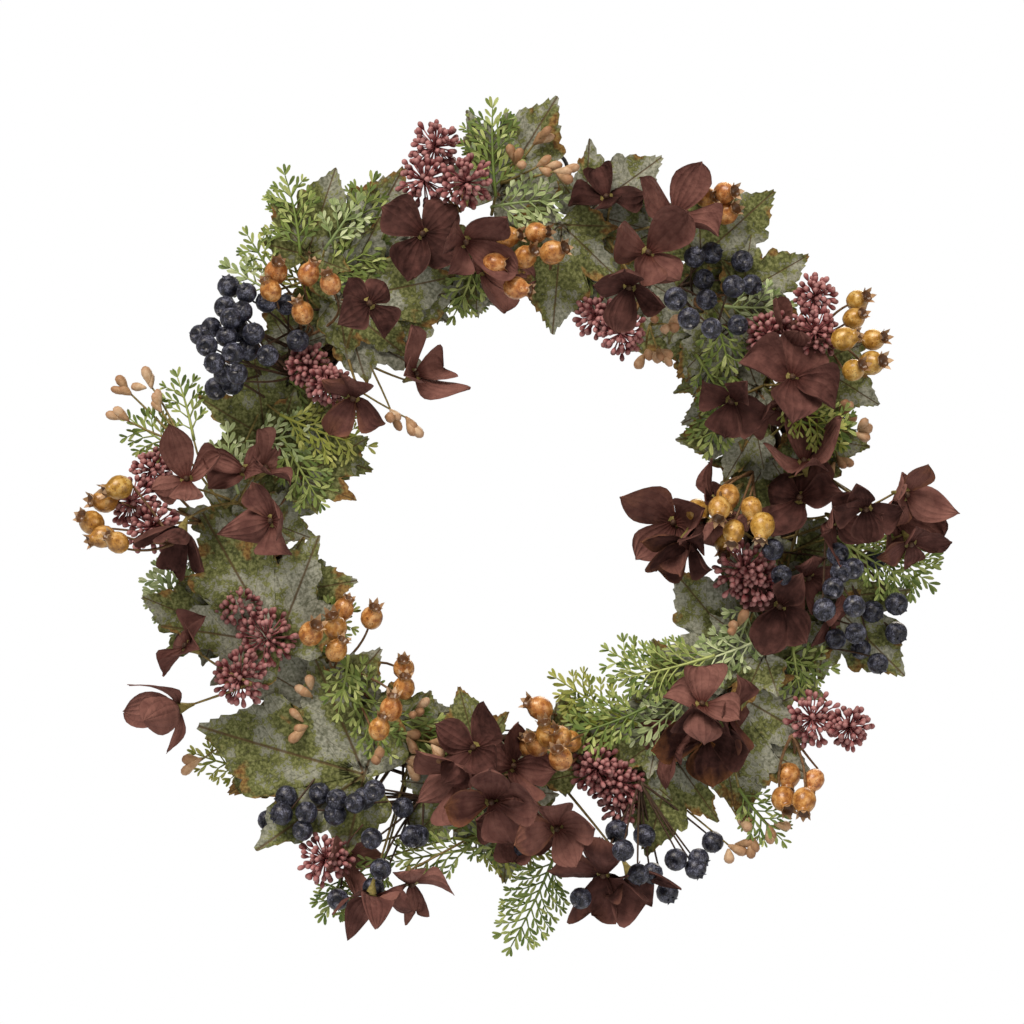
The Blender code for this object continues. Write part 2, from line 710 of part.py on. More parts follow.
def hanger_bracket(pile):
    """Two turns of wire round the bundle and the crossbar between them."""
    bar = crossbar_middle()
    shapes = []
    for side in (-1.0, 1.0):
        end = bar + Vector((side * HANGER_HALF_WIDTH, 0.0, 0.0))
        middle = Vector((end.x, MIDDLE.y, MIDDLE.z + hanger_height(0.0)))
        turns = wire_ring(middle, Vector((0.0, 0.0, 1.0)), FORWARD,
                          bundle_wire_radius() + WIRE_GAP, WIRE_RADIUS, 14)
        shapes.append(turns)
    over = HANGER_HALF_WIDTH + WIRE_RADIUS / 2.0
    shapes.append(tube([bar - Vector((over, 0.0, 0.0)), bar + Vector((over, 0.0, 0.0))],
                       WIRE_RADIUS, 6))
    body = fused("hanger_bracket", shapes, "black_wire", bar)
    pile.add(body)


def hanging_loop(pile):
    """The loop that goes over the hook, with an eye that turns on the crossbar."""
    bar = crossbar_middle()
    up = Vector((0.0, 0.0, 1.0))
    loop_middle = bar + up * (EYE_RADIUS + LOOP_RADIUS)
    loop = wire_ring(loop_middle, up, Vector((1.0, 0.0, 0.0)), LOOP_RADIUS, WIRE_RADIUS, 24)
    eye = wire_ring(bar, up, Vector((0.0, 1.0, 0.0)), EYE_RADIUS, WIRE_RADIUS, 12)
    body = fused("hanging_loop", [loop, eye], "black_wire", bar)
    pile.add(body)


def lay_leaves_and_ferns(pile):
    """The flat foliage goes on first."""
    for name, (place, leaves) in LEAF_SPRAYS.items():
        pick(name, place, leaves, leaf_head, "maple", pile)
    for name, (place, fronds) in FERN_SPRAYS.items():
        pick(name, place, fronds, frond_head, "fern", pile)


def lay_fixed_picks(pile):
    """Flowers, berries and hips that are tied down."""
    for name, (place, heads) in SEDUM_PICKS.items():
        pick(name, place, heads, sedum_head, "sedum", pile)
    for name, (place, heads) in BUD_PICKS.items():
        pick(name, place, heads, ball_head(BUD_RADIUS, BUD_STRETCH), "bud_sprig", pile)
    for name, (place, heads) in HYDRANGEA_PICKS.items():
        pick(name, place, heads, floret_head, "hydrangea", pile)
    for name, (place, heads) in BLUEBERRY_PICKS.items():
        pick(name, place, heads, ball_head(BERRY_RADIUS, 1.0), "blueberries", pile)
    for name, (place, heads) in HIP_PICKS.items():
        pick(name, place, heads, ball_head(HIP_RADIUS, HIP_STRETCH), "rose_hips", pile)


def lay_bending_picks(pile):
    """Outer picks that stay free to bend forward, in front of the rest."""
    for name, (place, heads) in BENDING_HYDRANGEAS.items():
        pick(name, place, heads, floret_head, "hydrangea", pile)
    for name, (place, heads) in BENDING_BUDS.items():
        pick(name, place, heads, ball_head(BUD_RADIUS, BUD_STRETCH), "bud_sprig", pile)
    for name, (place, heads) in BENDING_BLUEBERRIES.items():
        pick(name, place, heads, ball_head(BERRY_RADIUS, 1.0), "blueberries", pile)
    for name, (place, heads) in BENDING_HIPS.items():
        pick(name, place, heads, ball_head(HIP_RADIUS, HIP_STRETCH), "rose_hips", pile)


def main():
    for body in list(bpy.data.objects):
        bpy.data.objects.remove(body, do_unlink=True)
    pile = Pile()
    for index in range(STRANDS):
        vine_strand(index, pile)
    for index, clock in enumerate(BINDING_CLOCKS, start=1):
        binding_wire(index, clock, pile)
    hanger_bracket(pile)
    hanging_loop(pile)
    lay_leaves_and_ferns(pile)
    lay_fixed_picks(pile)
    lay_bending_picks(pile)


main()
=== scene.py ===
"""Harvest door wreath: the finished look of the wreath's picks, vine ring and hanger.

Laid out as an add-on and run as a script. Lengths are metres, or millimetres where a
name ends in _mm. A place on the wreath is a clock angle in degrees, 0 at the top and
clockwise seen from the front, and a distance in millimetres from the ring's middle.
"""
import json
import math
import random

import bpy
import numpy as np
from bpy.props import FloatProperty, FloatVectorProperty, IntProperty, PointerProperty
from mathutils import Matrix, Vector, noise
from mathutils.bvhtree import BVHTree


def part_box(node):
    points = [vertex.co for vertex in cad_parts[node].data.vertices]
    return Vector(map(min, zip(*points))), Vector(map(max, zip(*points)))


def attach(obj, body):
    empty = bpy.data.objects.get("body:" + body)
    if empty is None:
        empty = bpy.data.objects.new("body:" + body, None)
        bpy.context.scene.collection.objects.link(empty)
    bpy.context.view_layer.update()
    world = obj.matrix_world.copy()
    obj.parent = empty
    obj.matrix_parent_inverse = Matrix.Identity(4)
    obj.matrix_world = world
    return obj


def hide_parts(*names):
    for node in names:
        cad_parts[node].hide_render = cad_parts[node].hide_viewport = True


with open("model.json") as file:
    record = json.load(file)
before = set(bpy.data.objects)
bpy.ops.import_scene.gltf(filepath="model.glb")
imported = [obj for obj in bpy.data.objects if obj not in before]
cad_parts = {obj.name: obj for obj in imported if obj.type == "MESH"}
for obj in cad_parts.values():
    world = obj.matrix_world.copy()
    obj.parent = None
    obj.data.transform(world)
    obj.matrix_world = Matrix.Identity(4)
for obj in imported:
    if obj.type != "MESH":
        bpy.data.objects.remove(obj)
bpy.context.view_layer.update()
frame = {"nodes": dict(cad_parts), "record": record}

bl_info = {
    "name": "Harvest Wreath",
    "version": (1, 0, 0),
    "blender": (4, 5, 0),
    "location": "View3D > Sidebar > Wreath",
    "description": "Builds a vine ring wreath dressed with artificial autumn picks",
    "category": "Object",
}

MM = 0.001
FORWARD = Vector((0.0, -1.0, 0.0))
STRAND_NODES = ("vine_strand_1", "vine_strand_2", "vine_strand_3", "vine_strand_4")
RING_RADIUS = 0.152     # middle line of the twigs' bundle
DOME_HEIGHT = 0.030     # how far forward the picks stand at that line
DOME_REACH = 0.125      # where beside it the dome of picks comes down to nothing
LAY_SHARE = 0.85        # share of the dome that leaves lie at
FOOT_DEPTH = 0.026      # how far forward a fixed pick's foot may be
VINE_DEPTH = 0.019      # where the stem of a single added head leaves the vine
WIRE_RADIUS = 0.0012    # wire of the hanging loop and its bracket
TENDRILS = 20           # thin broken twigs on the bundle
LEAF_DISH = 0.10        # how hollow a maple leaf lies, as a share of its length
GOLDEN_TURN = 2.39996   # turn from one bud of an umbel to the next, in radians

# ---- the arrangement ----
# Every pick has the clock and distance of its foot, and its rows. A last value beyond those named is a
# depth in millimetres in front of the bundle's line; without one a head lies where the CAD node does.
# A leaf: clock and distance of its base, heading of its tip, length, how olive it is (0 to 1).
LEAF_SPRAYS = {
    "maple_top": ((3, 164), [
        (357, 183, 32, 66, 0.35), (14, 178, 54, 54, 0.2), (10, 168, 185, 62, 0.45),
        (352, 158, 178, 44, 0.3, 27), (14, 150, 140, 46, 0.2, 24), (6, 138, 80, 44, 0.4, 24),
        (24, 168, 60, 44, 0.3, 24)]),
    "maple_top_left": ((329, 160), [
        (325, 168, 28, 68, 0.2), (320, 158, 78, 68, 0.5), (321, 190, 18, 52, 0.8),
        (318, 142, 70, 66, 0.3, 26), (332, 150, 75, 52, 0.4, 24), (306, 160, 20, 44, 0.6, 22),
        (341, 150, 120, 44, 0.3, 26)]),
    "maple_left": ((262, 148), [
        (286, 150, 352, 58, 0.9), (278, 126, 60, 46, 0.7), (240, 158, 330, 86, 0.35, 36),
        (248, 186, 292, 46, 0.7), (287, 142, 110, 56, 0.9, 27), (256, 160, 240, 54, 0.3, 26),
        (250, 150, 80, 50, 0.5, 26), (268, 150, 60, 48, 0.3, 24), (294, 160, 60, 44, 0.6, 22),
        (262, 158, 350, 56, 0.2, 25)]),
    "maple_low_left": ((213, 164), [
        (209, 178, 286, 98, 0.6, 30), (222, 190, 236, 46, 0.7, 20), (222, 170, 40, 56, 0.3, 24),
        (232, 160, 130, 50, 0.5, 22), (212, 150, 80, 46, 0.6, 24), (225, 160, 300, 56, 0.1, 26)]),
    "maple_bottom": ((184, 158), [
        (190, 166, 225, 46, 0.4), (188, 146, 345, 40, 0.6), (180, 166, 185, 52, 0.3),
        (166, 160, 350, 48, 0.8), (196, 160, 110, 50, 0.7, 24), (172, 150, 60, 44, 0.4, 24),
        (203, 158, 20, 40, 0.5, 22), (176, 160, 240, 46, 0.3, 24)]),
    "maple_low_right": ((146, 154), [
        (147, 174, 196, 58, 0.75), (148, 160, 285, 44, 0.4), (156, 160, 80, 48, 0.4, 24),
        (138, 158, 330, 46, 0.3, 26), (136, 176, 120, 60, 0.3, 26)]),
    "maple_right_low": ((118, 160), [
        (130, 164, 172, 76, 0.25), (120, 170, 255, 50, 0.2), (106, 192, 135, 62, 0.45),
        (122, 158, 320, 60, 0.2, 28), (112, 150, 20, 46, 0.3, 24), (104, 160, 200, 50, 0.5, 24),
        (124, 174, 60, 54, 0.3, 24), (98, 170, 150, 60, 0.4, 22)]),
    "maple_right_high": ((66, 160), [
        (64, 195, 122, 46, 0.4), (64, 160, 245, 48, 0.3), (76, 176, 100, 38, 0.6),
        (72, 150, 262, 46, 0.4, 26), (78, 156, 210, 48, 0.6, 24), (84, 160, 60, 46, 0.5, 24),
        (88, 150, 330, 46, 0.4, 22)]),
    "maple_top_right": ((42, 160), [
        (37, 184, 48, 56, 0.7), (47, 184, 60, 44, 0.6), (50, 166, 225, 42, 0.2),
        (52, 160, 160, 50, 0.2, 24), (58, 150, 300, 44, 0.4, 22), (40, 160, 110, 56, 0.5, 24),
        (32, 156, 170, 40, 0.4, 22), (46, 160, 250, 50, 0.3, 24)]),
}
# A frond: clock and distance of its base, heading of its tip, length, kind (0 green, 1 pale, 2 lime).
FERN_SPRAYS = {
    "fern_top": ((356, 172), [
        (357, 182, 358, 58, 0), (356, 176, 84, 48, 1), (352, 150, 200, 44, 0, 30),
        (12, 160, 150, 40, 0, 26), (343, 150, 150, 36, 0, 26)]),
    "fern_top_left": ((320, 178), [
        (320, 192, 349, 54, 0), (314, 192, 328, 36, 0), (324, 186, 34, 40, 1), (312, 188, 300, 34, 1),
        (318, 176, 60, 54, 0, 30), (328, 180, 20, 46, 0, 28), (316, 170, 340, 60, 2, 26),
        (300, 150, 120, 46, 0, 28)]),
    "fern_left": ((270, 168), [
        (282, 190, 345, 44, 0), (279, 192, 303, 46, 0), (273, 160, 350, 42, 1), (244, 190, 318, 62, 1, 24),
        (292, 146, 110, 60, 2, 34), (287, 140, 150, 50, 0, 32), (284, 160, 80, 46, 1, 34),
        (246, 190, 322, 60, 1, 22), (238, 150, 60, 44, 0, 30)]),
    "fern_low_left": ((214, 160), [
        (213, 140, 320, 38, 0), (206, 162, 290, 44, 0, 26), (224, 214, 284, 44, 2, 14),
        (228, 128, 190, 40, 0, 44), (222, 140, 150, 52, 0, 34), (212, 140, 120, 50, 0, 32)]),
    "fern_bottom": ((176, 186), [
        (178, 200, 290, 46, 0), (173, 204, 205, 66, 0), (205, 236, 203, 32, 0), (190, 196, 100, 60, 2, 26),
        (186, 200, 260, 54, 0, 26), (166, 140, 20, 40, 0, 30), (200, 214, 215, 50, 0, 24)]),
    "fern_low_right": ((128, 148), [
        (126, 146, 256, 64, 0), (136, 150, 230, 48, 1), (116, 182, 170, 36, 0), (141, 210, 140, 46, 0),
        (150, 146, 300, 60, 2, 36), (146, 140, 250, 56, 0, 38), (138, 142, 300, 50, 0, 34),
        (118, 164, 250, 46, 1, 36), (110, 150, 200, 50, 1, 34), (120, 176, 100, 40, 0, 30)]),
    "fern_right": ((70, 172), [
        (71, 176, 150, 34, 2), (46, 170, 90, 44, 1), (46, 164, 165, 44, 0), (91, 192, 128, 72, 0),
        (66, 168, 130, 54, 2, 44), (60, 150, 200, 50, 0, 32), (95, 190, 120, 56, 0, 40),
        (50, 140, 150, 44, 0, 30), (72, 170, 100, 46, 0, 40)]),
}
# An umbel: clock, distance, width.
SEDUM_PICKS = {
    "sedum_top": ((350, 176), [
        (348, 216, 26), (345, 198, 28), (352, 191, 28)]),
    "sedum_right_high": ((60, 182), [
        (55, 216, 22), (60, 204, 26), (56, 181, 25)]),
    "sedum_inner_top": ((32, 142), [
        (24, 122, 22), (32, 120, 25)]),
    "sedum_upper_left": ((300, 138), [
        (305, 146, 22), (304, 129, 22)]),
    "sedum_left": ((267, 180), [
        (276, 211, 21), (271, 222, 27), (267, 209, 27)]),
    "sedum_low_left": ((234, 174), [
        (242, 162, 32), (238, 186, 28), (208, 232, 26, 40), (250, 170, 24, 40)]),
    "sedum_low_right": ((128, 196), [
        (125, 214, 28), (123, 234, 22), (105, 140, 32, 52), (107, 150, 26, 50), (162, 160, 27, 40),
        (159, 172, 26, 38), (160, 184, 22, 32)]),
}
# A group of buds: clock, distance.
BUD_PICKS = {
    "bud_sprig_top": ((358, 190), [
        (4, 216), (1, 203), (5, 201), (8, 198)]),
    "bud_sprig_inner_top": ((37, 134), [
        (36, 141), (41, 141), (41, 119), (43, 124), (311, 78, 50), (308, 88, 50)]),
    "bud_sprig_right": ((76, 190), [
        (75, 203), (78, 208), (82, 193), (144, 227, 32), (144, 241, 34), (147, 238, 32), (141, 241, 32),
        (118, 147, 44)]),
    "bud_sprig_low_left": ((216, 158), [
        (228, 161), (224, 177), (204, 145), (202, 160), (198, 144), (231, 238, 20), (205, 132, 40),
        (209, 160, 46)]),
    "bud_sprig_left": ((281, 196), [
        (287, 236), (289, 225), (286, 215), (283, 233)]),
}
# A floret: clock, distance, width, how far it leans, the heading it leans to, ochre edge (0 to 1).
HYDRANGEA_PICKS = {
    "hydrangea_top_left": ((344, 160), [
        (342, 167, 56, 15, 330, 0.0), (350, 156, 46, 35, 120, 0.0), (353, 140, 42, 60, 100, 0.0, 40)]),
    "hydrangea_upper_left": ((313, 132), [
        (325, 144, 40, 25, 60, 0.0), (324, 96, 48, 50, 60, 0.0), (305, 112, 42, 50, 200, 0.2)]),
    "hydrangea_left": ((271, 160), [
        (278, 157, 38, 45, 300, 0.0), (275, 190, 46, 30, 0, 0.0), (266, 191, 42, 55, 200, 0.0),
        (267, 139, 46, 40, 260, 0.1), (279, 146, 34, 60, 40, 0.0, 42)]),
    "hydrangea_bottom": ((183, 156), [
        (189, 141, 50, 30, 320, 0.0), (184, 170, 54, 15, 200, 0.35), (172, 187, 46, 15, 190, 0.25),
        (191, 158, 46, 45, 240, 0.1, 44), (180, 150, 46, 50, 90, 0.1, 42),
        (178, 176, 46, 35, 200, 0.0, 38)]),
    "hydrangea_low_right": ((140, 172), [
        (140, 176, 58, 20, 200, 0.4), (136, 158, 46, 35, 20, 0.0), (146, 168, 44, 55, 300, 0.1, 40),
        (133, 176, 46, 50, 100, 0.2, 40)]),
    "hydrangea_right": ((92, 170), [
        (88, 168, 52, 25, 300, 0.0), (92, 188, 46, 40, 120, 0.0), (110, 166, 48, 30, 220, 0.0),
        (103, 177, 46, 55, 150, 0.1, 36), (109, 196, 40, 60, 120, 0.0, 34),
        (81, 172, 46, 55, 350, 0.0, 46)]),
    "hydrangea_inner_right": ((84, 136), [
        (95, 95, 54, 30, 250, 0.15), (95, 116, 46, 50, 150, 0.0), (101, 102, 44, 60, 200, 0.2, 52),
        (88, 118, 40, 60, 60, 0.0, 44)]),
    "hydrangea_right_high": ((64, 164), [
        (65, 179, 56, 25, 30, 0.0), (64, 142, 44, 30, 220, 0.0), (60, 190, 40, 60, 20, 0.0, 40),
        (69, 166, 44, 50, 160, 0.0, 42)]),
    "hydrangea_top_right": ((19, 168), [
        (17, 189, 42, 40, 340, 0.0), (29, 196, 52, 40, 30, 0.0), (28, 167, 50, 15, 60, 0.1),
        (28, 144, 44, 35, 200, 0.0)]),
    "hydrangea_far_right": ((85, 188), [
        (91, 222, 50, 40, 110, 0.0), (90, 204, 42, 40, 180, 0.0), (95, 232, 42, 50, 150, 0.2, 52),
        (88, 228, 42, 45, 100, 0.3, 58)]),
    "hydrangea_hanging": ((178, 176), [
        (166, 219, 56, 50, 190, 0.1), (195, 226, 44, 65, 170, 0.1), (205, 226, 46, 50, 100, 0.0),
        (200, 240, 46, 65, 190, 0.0, 44), (162, 224, 44, 60, 150, 0.1, 44)]),
    "hydrangea_low_left": ((236, 182), [
        (247, 205, 46, 62, 300, 0.0), (239, 226, 46, 60, 255, 0.0)]),
}
# Hips: after the foot, how yellow they are and the heading of their crowns; a row has clock, distance.
HIP_PICKS = {
    "rose_hips_top": ((8, 132), 0.15, 80, [
        (359, 158), (5, 161), (3, 146), (356, 141), (9, 150), (1, 127), (32, 214, 40), (34, 222, 42),
        (36, 213, 36)]),
    "rose_hips_top_left": ((309, 158), 0.0, 0, [
        (315, 194), (312, 188), (319, 180), (321, 166), (313, 166)]),
    "rose_hips_inner_right": ((82, 142), 0.8, 185, [
        (87, 125), (90, 138), (96, 128), (90, 119), (94, 144), (91, 108, 52), (99, 126, 46)]),
    "rose_hips_bottom": ((162, 142), 0.3, 320, [
        (172, 118), (171, 133), (174, 138), (168, 135), (169, 147), (166, 140, 46), (176, 140, 40)]),
    "rose_hips_low_left": ((228, 140), 0.3, 10, [
        (239, 115), (236, 124), (231, 131), (232, 104), (238, 137), (214, 113), (211, 122), (211, 136),
        (211, 149)]),
    "rose_hips_right": ((61, 206), 1.0, 85, [
        (59, 236), (61, 228), (63, 216), (65, 232), (68, 225), (68, 213)]),
    "rose_hips_left": ((264, 196), 0.85, 280, [
        (271, 236), (273, 227), (268, 243), (266, 236), (265, 227)]),
    "rose_hips_low_right": ((129, 210), 0.15, 175, [
        (134, 225), (132, 237), (137, 232), (135, 240)]),
}
# A blueberry: clock, distance.
BLUEBERRY_PICKS = {
    "blueberries_left": ((301, 150), [
        (308, 209), (305, 203), (306, 193), (301, 203), (304, 180), (301, 192), (298, 199), (296, 190),
        (296, 175), (308, 158), (302, 166), (312, 177), (303, 188, 62), (299, 207, 58), (295, 184, 60),
        (309, 198, 60), (304, 196, 74), (299, 184, 76), (294, 178, 52), (301, 178, 66), (292, 186, 46),
        (310, 186, 58)]),
    "blueberries_top_right": ((37, 162), [
        (38, 189), (43, 197), (47, 191), (40, 174), (43, 166), (38, 152), (43, 148), (48, 153),
        (51, 169, 52), (36, 180, 56), (45, 182, 54)]),
    "blueberries_low_left": ((197, 177), [
        (218, 214), (218, 232), (214, 201), (214, 214), (211, 198), (208, 194), (206, 182), (200, 186),
        (203, 208), (200, 223), (196, 199), (217, 223, 46), (213, 224, 44), (207, 190, 44), (197, 200, 44),
        (204, 250, 40), (200, 236, 42), (210, 206, 44), (178, 198, 46)]),
    "blueberries_right": ((93, 184), [
        (98, 190), (101, 193), (104, 190), (108, 188), (106, 204), (106, 219), (98, 214), (104, 231),
        (108, 236), (112, 204), (112, 220), (99, 153, 62), (104, 161, 62), (113, 231, 52), (100, 200, 74),
        (110, 212, 60)]),
    "blueberries_low_right": ((155, 176), [
        (149, 228), (152, 232), (155, 226), (158, 206), (161, 224), (158, 243), (162, 207), (170, 230),
        (153, 236, 40), (159, 228, 42), (162, 198, 42)]),
}
BODY_OF = {node: body for body, nodes in frame["record"]["behaviour"]["bodies"].items() for node in nodes}

# A maple leaf's half outline from its stalk: share of the length along, share across.
LEAF_HALF = ((-0.05, 0.0), (-0.12, 0.05), (-0.21, 0.13), (-0.22, 0.20), (-0.17, 0.26), (-0.16, 0.34),
             (-0.07, 0.40), (-0.02, 0.53), (0.05, 0.44), (0.12, 0.38), (0.20, 0.42), (0.25, 0.50),
             (0.34, 0.51), (0.50, 0.62), (0.50, 0.51), (0.47, 0.44), (0.50, 0.37), (0.46, 0.27),
             (0.54, 0.28), (0.59, 0.32), (0.67, 0.31), (0.69, 0.23), (0.77, 0.21), (0.83, 0.14),
             (0.92, 0.08), (1.03, 0.0))
LEAF_VEINS = (0.0, 51.0, -51.0, 93.0, -93.0)
LEAFLET = ((0.0, 0.0), (0.25, 0.085), (0.62, 0.145), (0.88, 0.11), (1.0, 0.0),
           (0.88, -0.11), (0.62, -0.145), (0.25, -0.085))


# ---------------------------------------------------------------- places and depths

def ring_box():
    """The box round the vine strands."""
    corners = [corner for node in STRAND_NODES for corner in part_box(node)]
    low = Vector([min(corner[i] for corner in corners) for i in range(3)])
    high = Vector([max(corner[i] for corner in corners) for i in range(3)])
    return low, high


RING_LOW, RING_HIGH = ring_box()
MIDDLE = (RING_LOW + RING_HIGH) / 2.0
BUNDLE_REACH = (RING_HIGH.y - RING_LOW.y) / 2.0


def heading(clock):
    """Unit vector in the wreath's plane that points to a clock angle."""
    turn = math.radians(clock)
    return Vector((math.sin(turn), 0.0, math.cos(turn)))


def laid_out(clock, distance_mm, depth=0.0):
    """A place of the arrangement, `depth` in front of the bundle's line."""
    return MIDDLE + heading(clock) * (distance_mm * MM) + FORWARD * depth


def with_depth(point, depth):
    """The same place on the wreath's face at another depth."""
    return Vector((point.x, MIDDLE.y - depth, point.z))


def depth_of(point):
    """Distance of a point in front of the bundle's line."""
    return MIDDLE.y - point.y


def dome_depth(point):
    """How far forward a pick stands by itself."""
    aside = math.hypot(point.x - MIDDLE.x, point.z - MIDDLE.z) - RING_RADIUS
    return DOME_HEIGHT * (1.0 - (aside / DOME_REACH) ** 2)


class Fronts:
    """Reads how far forward each CAD node reaches at a place on the wreath's face."""

    def __init__(self):
        self.trees = {}

    def tree(self, node):
        """The node's faces as a search tree."""
        if node not in self.trees:
            mesh = frame["nodes"][node].data
            points = [vertex.co.copy() for vertex in mesh.vertices]
            self.trees[node] = BVHTree.FromPolygons(points, [tuple(p.vertices) for p in mesh.polygons])
        return self.trees[node]

    def depth(self, node, point):
        """Depth of the node's foremost face at a place, or None beside the node."""
        start = Vector((point.x, MIDDLE.y - 1.0, point.z))
        hit = self.tree(node).ray_cast(start, -FORWARD)[0]
        return None if hit is None else depth_of(hit)

    def nearest(self, node, point):
        """Depth of the node's surface nearest to a point."""
        return depth_of(self.tree(node).find_nearest(point)[0])


fronts = Fronts()


def lift_of(node, points):
    """How far the node's solid came forward of where these surface points say."""
    lifts = []
    for point in points:
        depth = fronts.depth(node, point)
        if depth is not None:
            lifts.append(depth - depth_of(point))
    if not lifts:
        return fronts.nearest(node, points[0]) - depth_of(points[0])
    return min(lifts)


def facing_matrix(place, facing, along):
    """Local Z to the facing direction and local X as near as it goes to `along`."""
    z_axis = facing.normalized()
    x_axis = (along - z_axis * along.dot(z_axis)).normalized()
    y_axis = z_axis.cross(x_axis)
    turn = Matrix((x_axis, y_axis, z_axis)).transposed().to_4x4()
    return Matrix.Translation(place) @ turn


def carried(points, matrix):
    """An array of points carried by a matrix."""
    m = np.array(matrix)
    return points @ m[:3, :3].T + m[:3, 3]


# ---------------------------------------------------------------- mesh building

class Pieces:
    """Collects the shapes of one pick, with what each point tells its material."""

    def __init__(self):
        self.points = []
        self.place = []
        self.tone = []
        self.faces = []
        self.finish = []
        self.count = 0

    def add(self, points, faces, finish, place=None, tone=(0.5, 0.0, 0.0)):
        """Add a shape: its points, its faces, and the index of its finish."""
        points = np.asarray(points, dtype=float)
        start = self.count
        self.points.append(points)
        self.place.append(np.zeros_like(points) if place is None else np.asarray(place, dtype=float))
        self.tone.append(np.broadcast_to(np.asarray(tone, dtype=float), points.shape))
        self.faces += [tuple(start + i for i in face) for face in faces]
        self.finish += [finish] * len(faces)
        self.count += len(points)

    def build(self, name, materials):
        """The mesh object."""
        mesh = bpy.data.meshes.new(name)
        points = np.vstack(self.points)
        mesh.from_pydata(points.tolist(), [], self.faces)
        for label, values in (("place", self.place), ("tone", self.tone)):
            layer = mesh.attributes.new(label, "FLOAT_VECTOR", "POINT")
            layer.data.foreach_set("vector", np.vstack(values).ravel())
        for material in materials:
            mesh.materials.append(material)
        mesh.polygons.foreach_set("material_index", self.finish)
        mesh.polygons.foreach_set("use_smooth", [True] * len(mesh.polygons))
        mesh.update()
        piece = bpy.data.objects.new(name, mesh)
        bpy.context.scene.collection.objects.link(piece)
        return piece


def grid_faces(rows, columns, closed=False):
    """Quads of a grid of points, row by row."""
    faces = []
    for i in range(rows - 1):
        for j in range(columns if closed else columns - 1):
            k = (j + 1) % columns
            faces.append((i * columns + j, i * columns + k, (i + 1) * columns + k, (i + 1) * columns + j))
    return faces


def capped_faces(rows, sides):
    """Faces of a round shape of rings of points, closed at both ends."""
    last = (rows - 1) * sides
    caps = [tuple(range(sides))[::-1], tuple(last + k for k in range(sides))]
    return grid_faces(rows, sides, closed=True) + caps


def tube(line, radii, sides=6):
    """A round bar along a line of points, with a radius at each."""
    line = np.asarray(line, dtype=float)
    along = np.gradient(line, axis=0)
    along /= np.linalg.norm(along, axis=1)[:, None]
    across = np.cross(along[0], (0.31, 0.83, 0.47))
    rings = []
    for i, direction in enumerate(along):
        across = across - direction * across.dot(direction)
        across /= np.linalg.norm(across)
        other = np.cross(direction, across)
        turns = np.linspace(0.0, 2.0 * math.pi, sides, endpoint=False)
        ring = np.outer(np.cos(turns), across) + np.outer(np.sin(turns), other)
        rings.append(line[i] + ring * radii[i])
    return np.vstack(rings), capped_faces(len(line), sides)


def bent_line(start, end, bow, count=8):
    """Points of a bar that bows out by `bow` between two points."""
    start, end = np.array(start), np.array(end)
    shares = np.linspace(0.0, 1.0, count)[:, None]
    middle = (start + end) / 2.0 + np.array(bow)
    return (1 - shares) ** 2 * start + 2 * shares * (1 - shares) * middle + shares ** 2 * end


def turned(profile, sides):
    """A turned shape about local Z from radius and height pairs."""
    turns = np.linspace(0.0, 2.0 * math.pi, sides, endpoint=False)
    points = []
    for radius, height in profile:
        points += [(radius * math.cos(t), radius * math.sin(t), height) for t in turns]
    return np.array(points), capped_faces(len(profile), sides)


def crown(pieces, matrix, finish, tone, count, inner, outer, rise, lean):
    """Pointed sepals that stand in a ring round the local Z axis."""
    for k in range(count):
        turn = 2.0 * math.pi * k / count
        side = math.pi / count * 0.92
        low = [(inner * math.cos(turn + s), inner * math.sin(turn + s), 0.0) for s in (-side, side)]
        waist = inner + lean * 0.5
        mid = [(waist * math.cos(turn + s * 0.6), waist * math.sin(turn + s * 0.6), rise * 0.55)
               for s in (-side, side)]
        tip = ((outer + lean) * math.cos(turn), (outer + lean) * math.sin(turn), rise)
        points = carried(np.array(low + mid + [tip]), matrix)
        pieces.add(points, [(0, 1, 3, 2), (2, 3, 4)], finish, tone=tone)


# ---------------------------------------------------------------- heads

def leaf_edge(rng):
    """Points of a leaf's toothed edge, in shares of its length."""
    outline = list(LEAF_HALF) + [(x, -y) for x, y in LEAF_HALF[-2:0:-1]]
    edge = []
    for (x, y), (next_x, next_y) in zip(outline, outline[1:] + outline[:1]):
        count = max(1, round(math.hypot(next_x - x, next_y - y) / 0.035))
        for k in range(count):
            swell = 1.0 + 0.03 * (k % 2) + rng.uniform(-0.012, 0.012)
            edge.append(((x + (next_x - x) * k / count) * swell, (y + (next_y - y) * k / count) * swell))
    return np.array(edge)


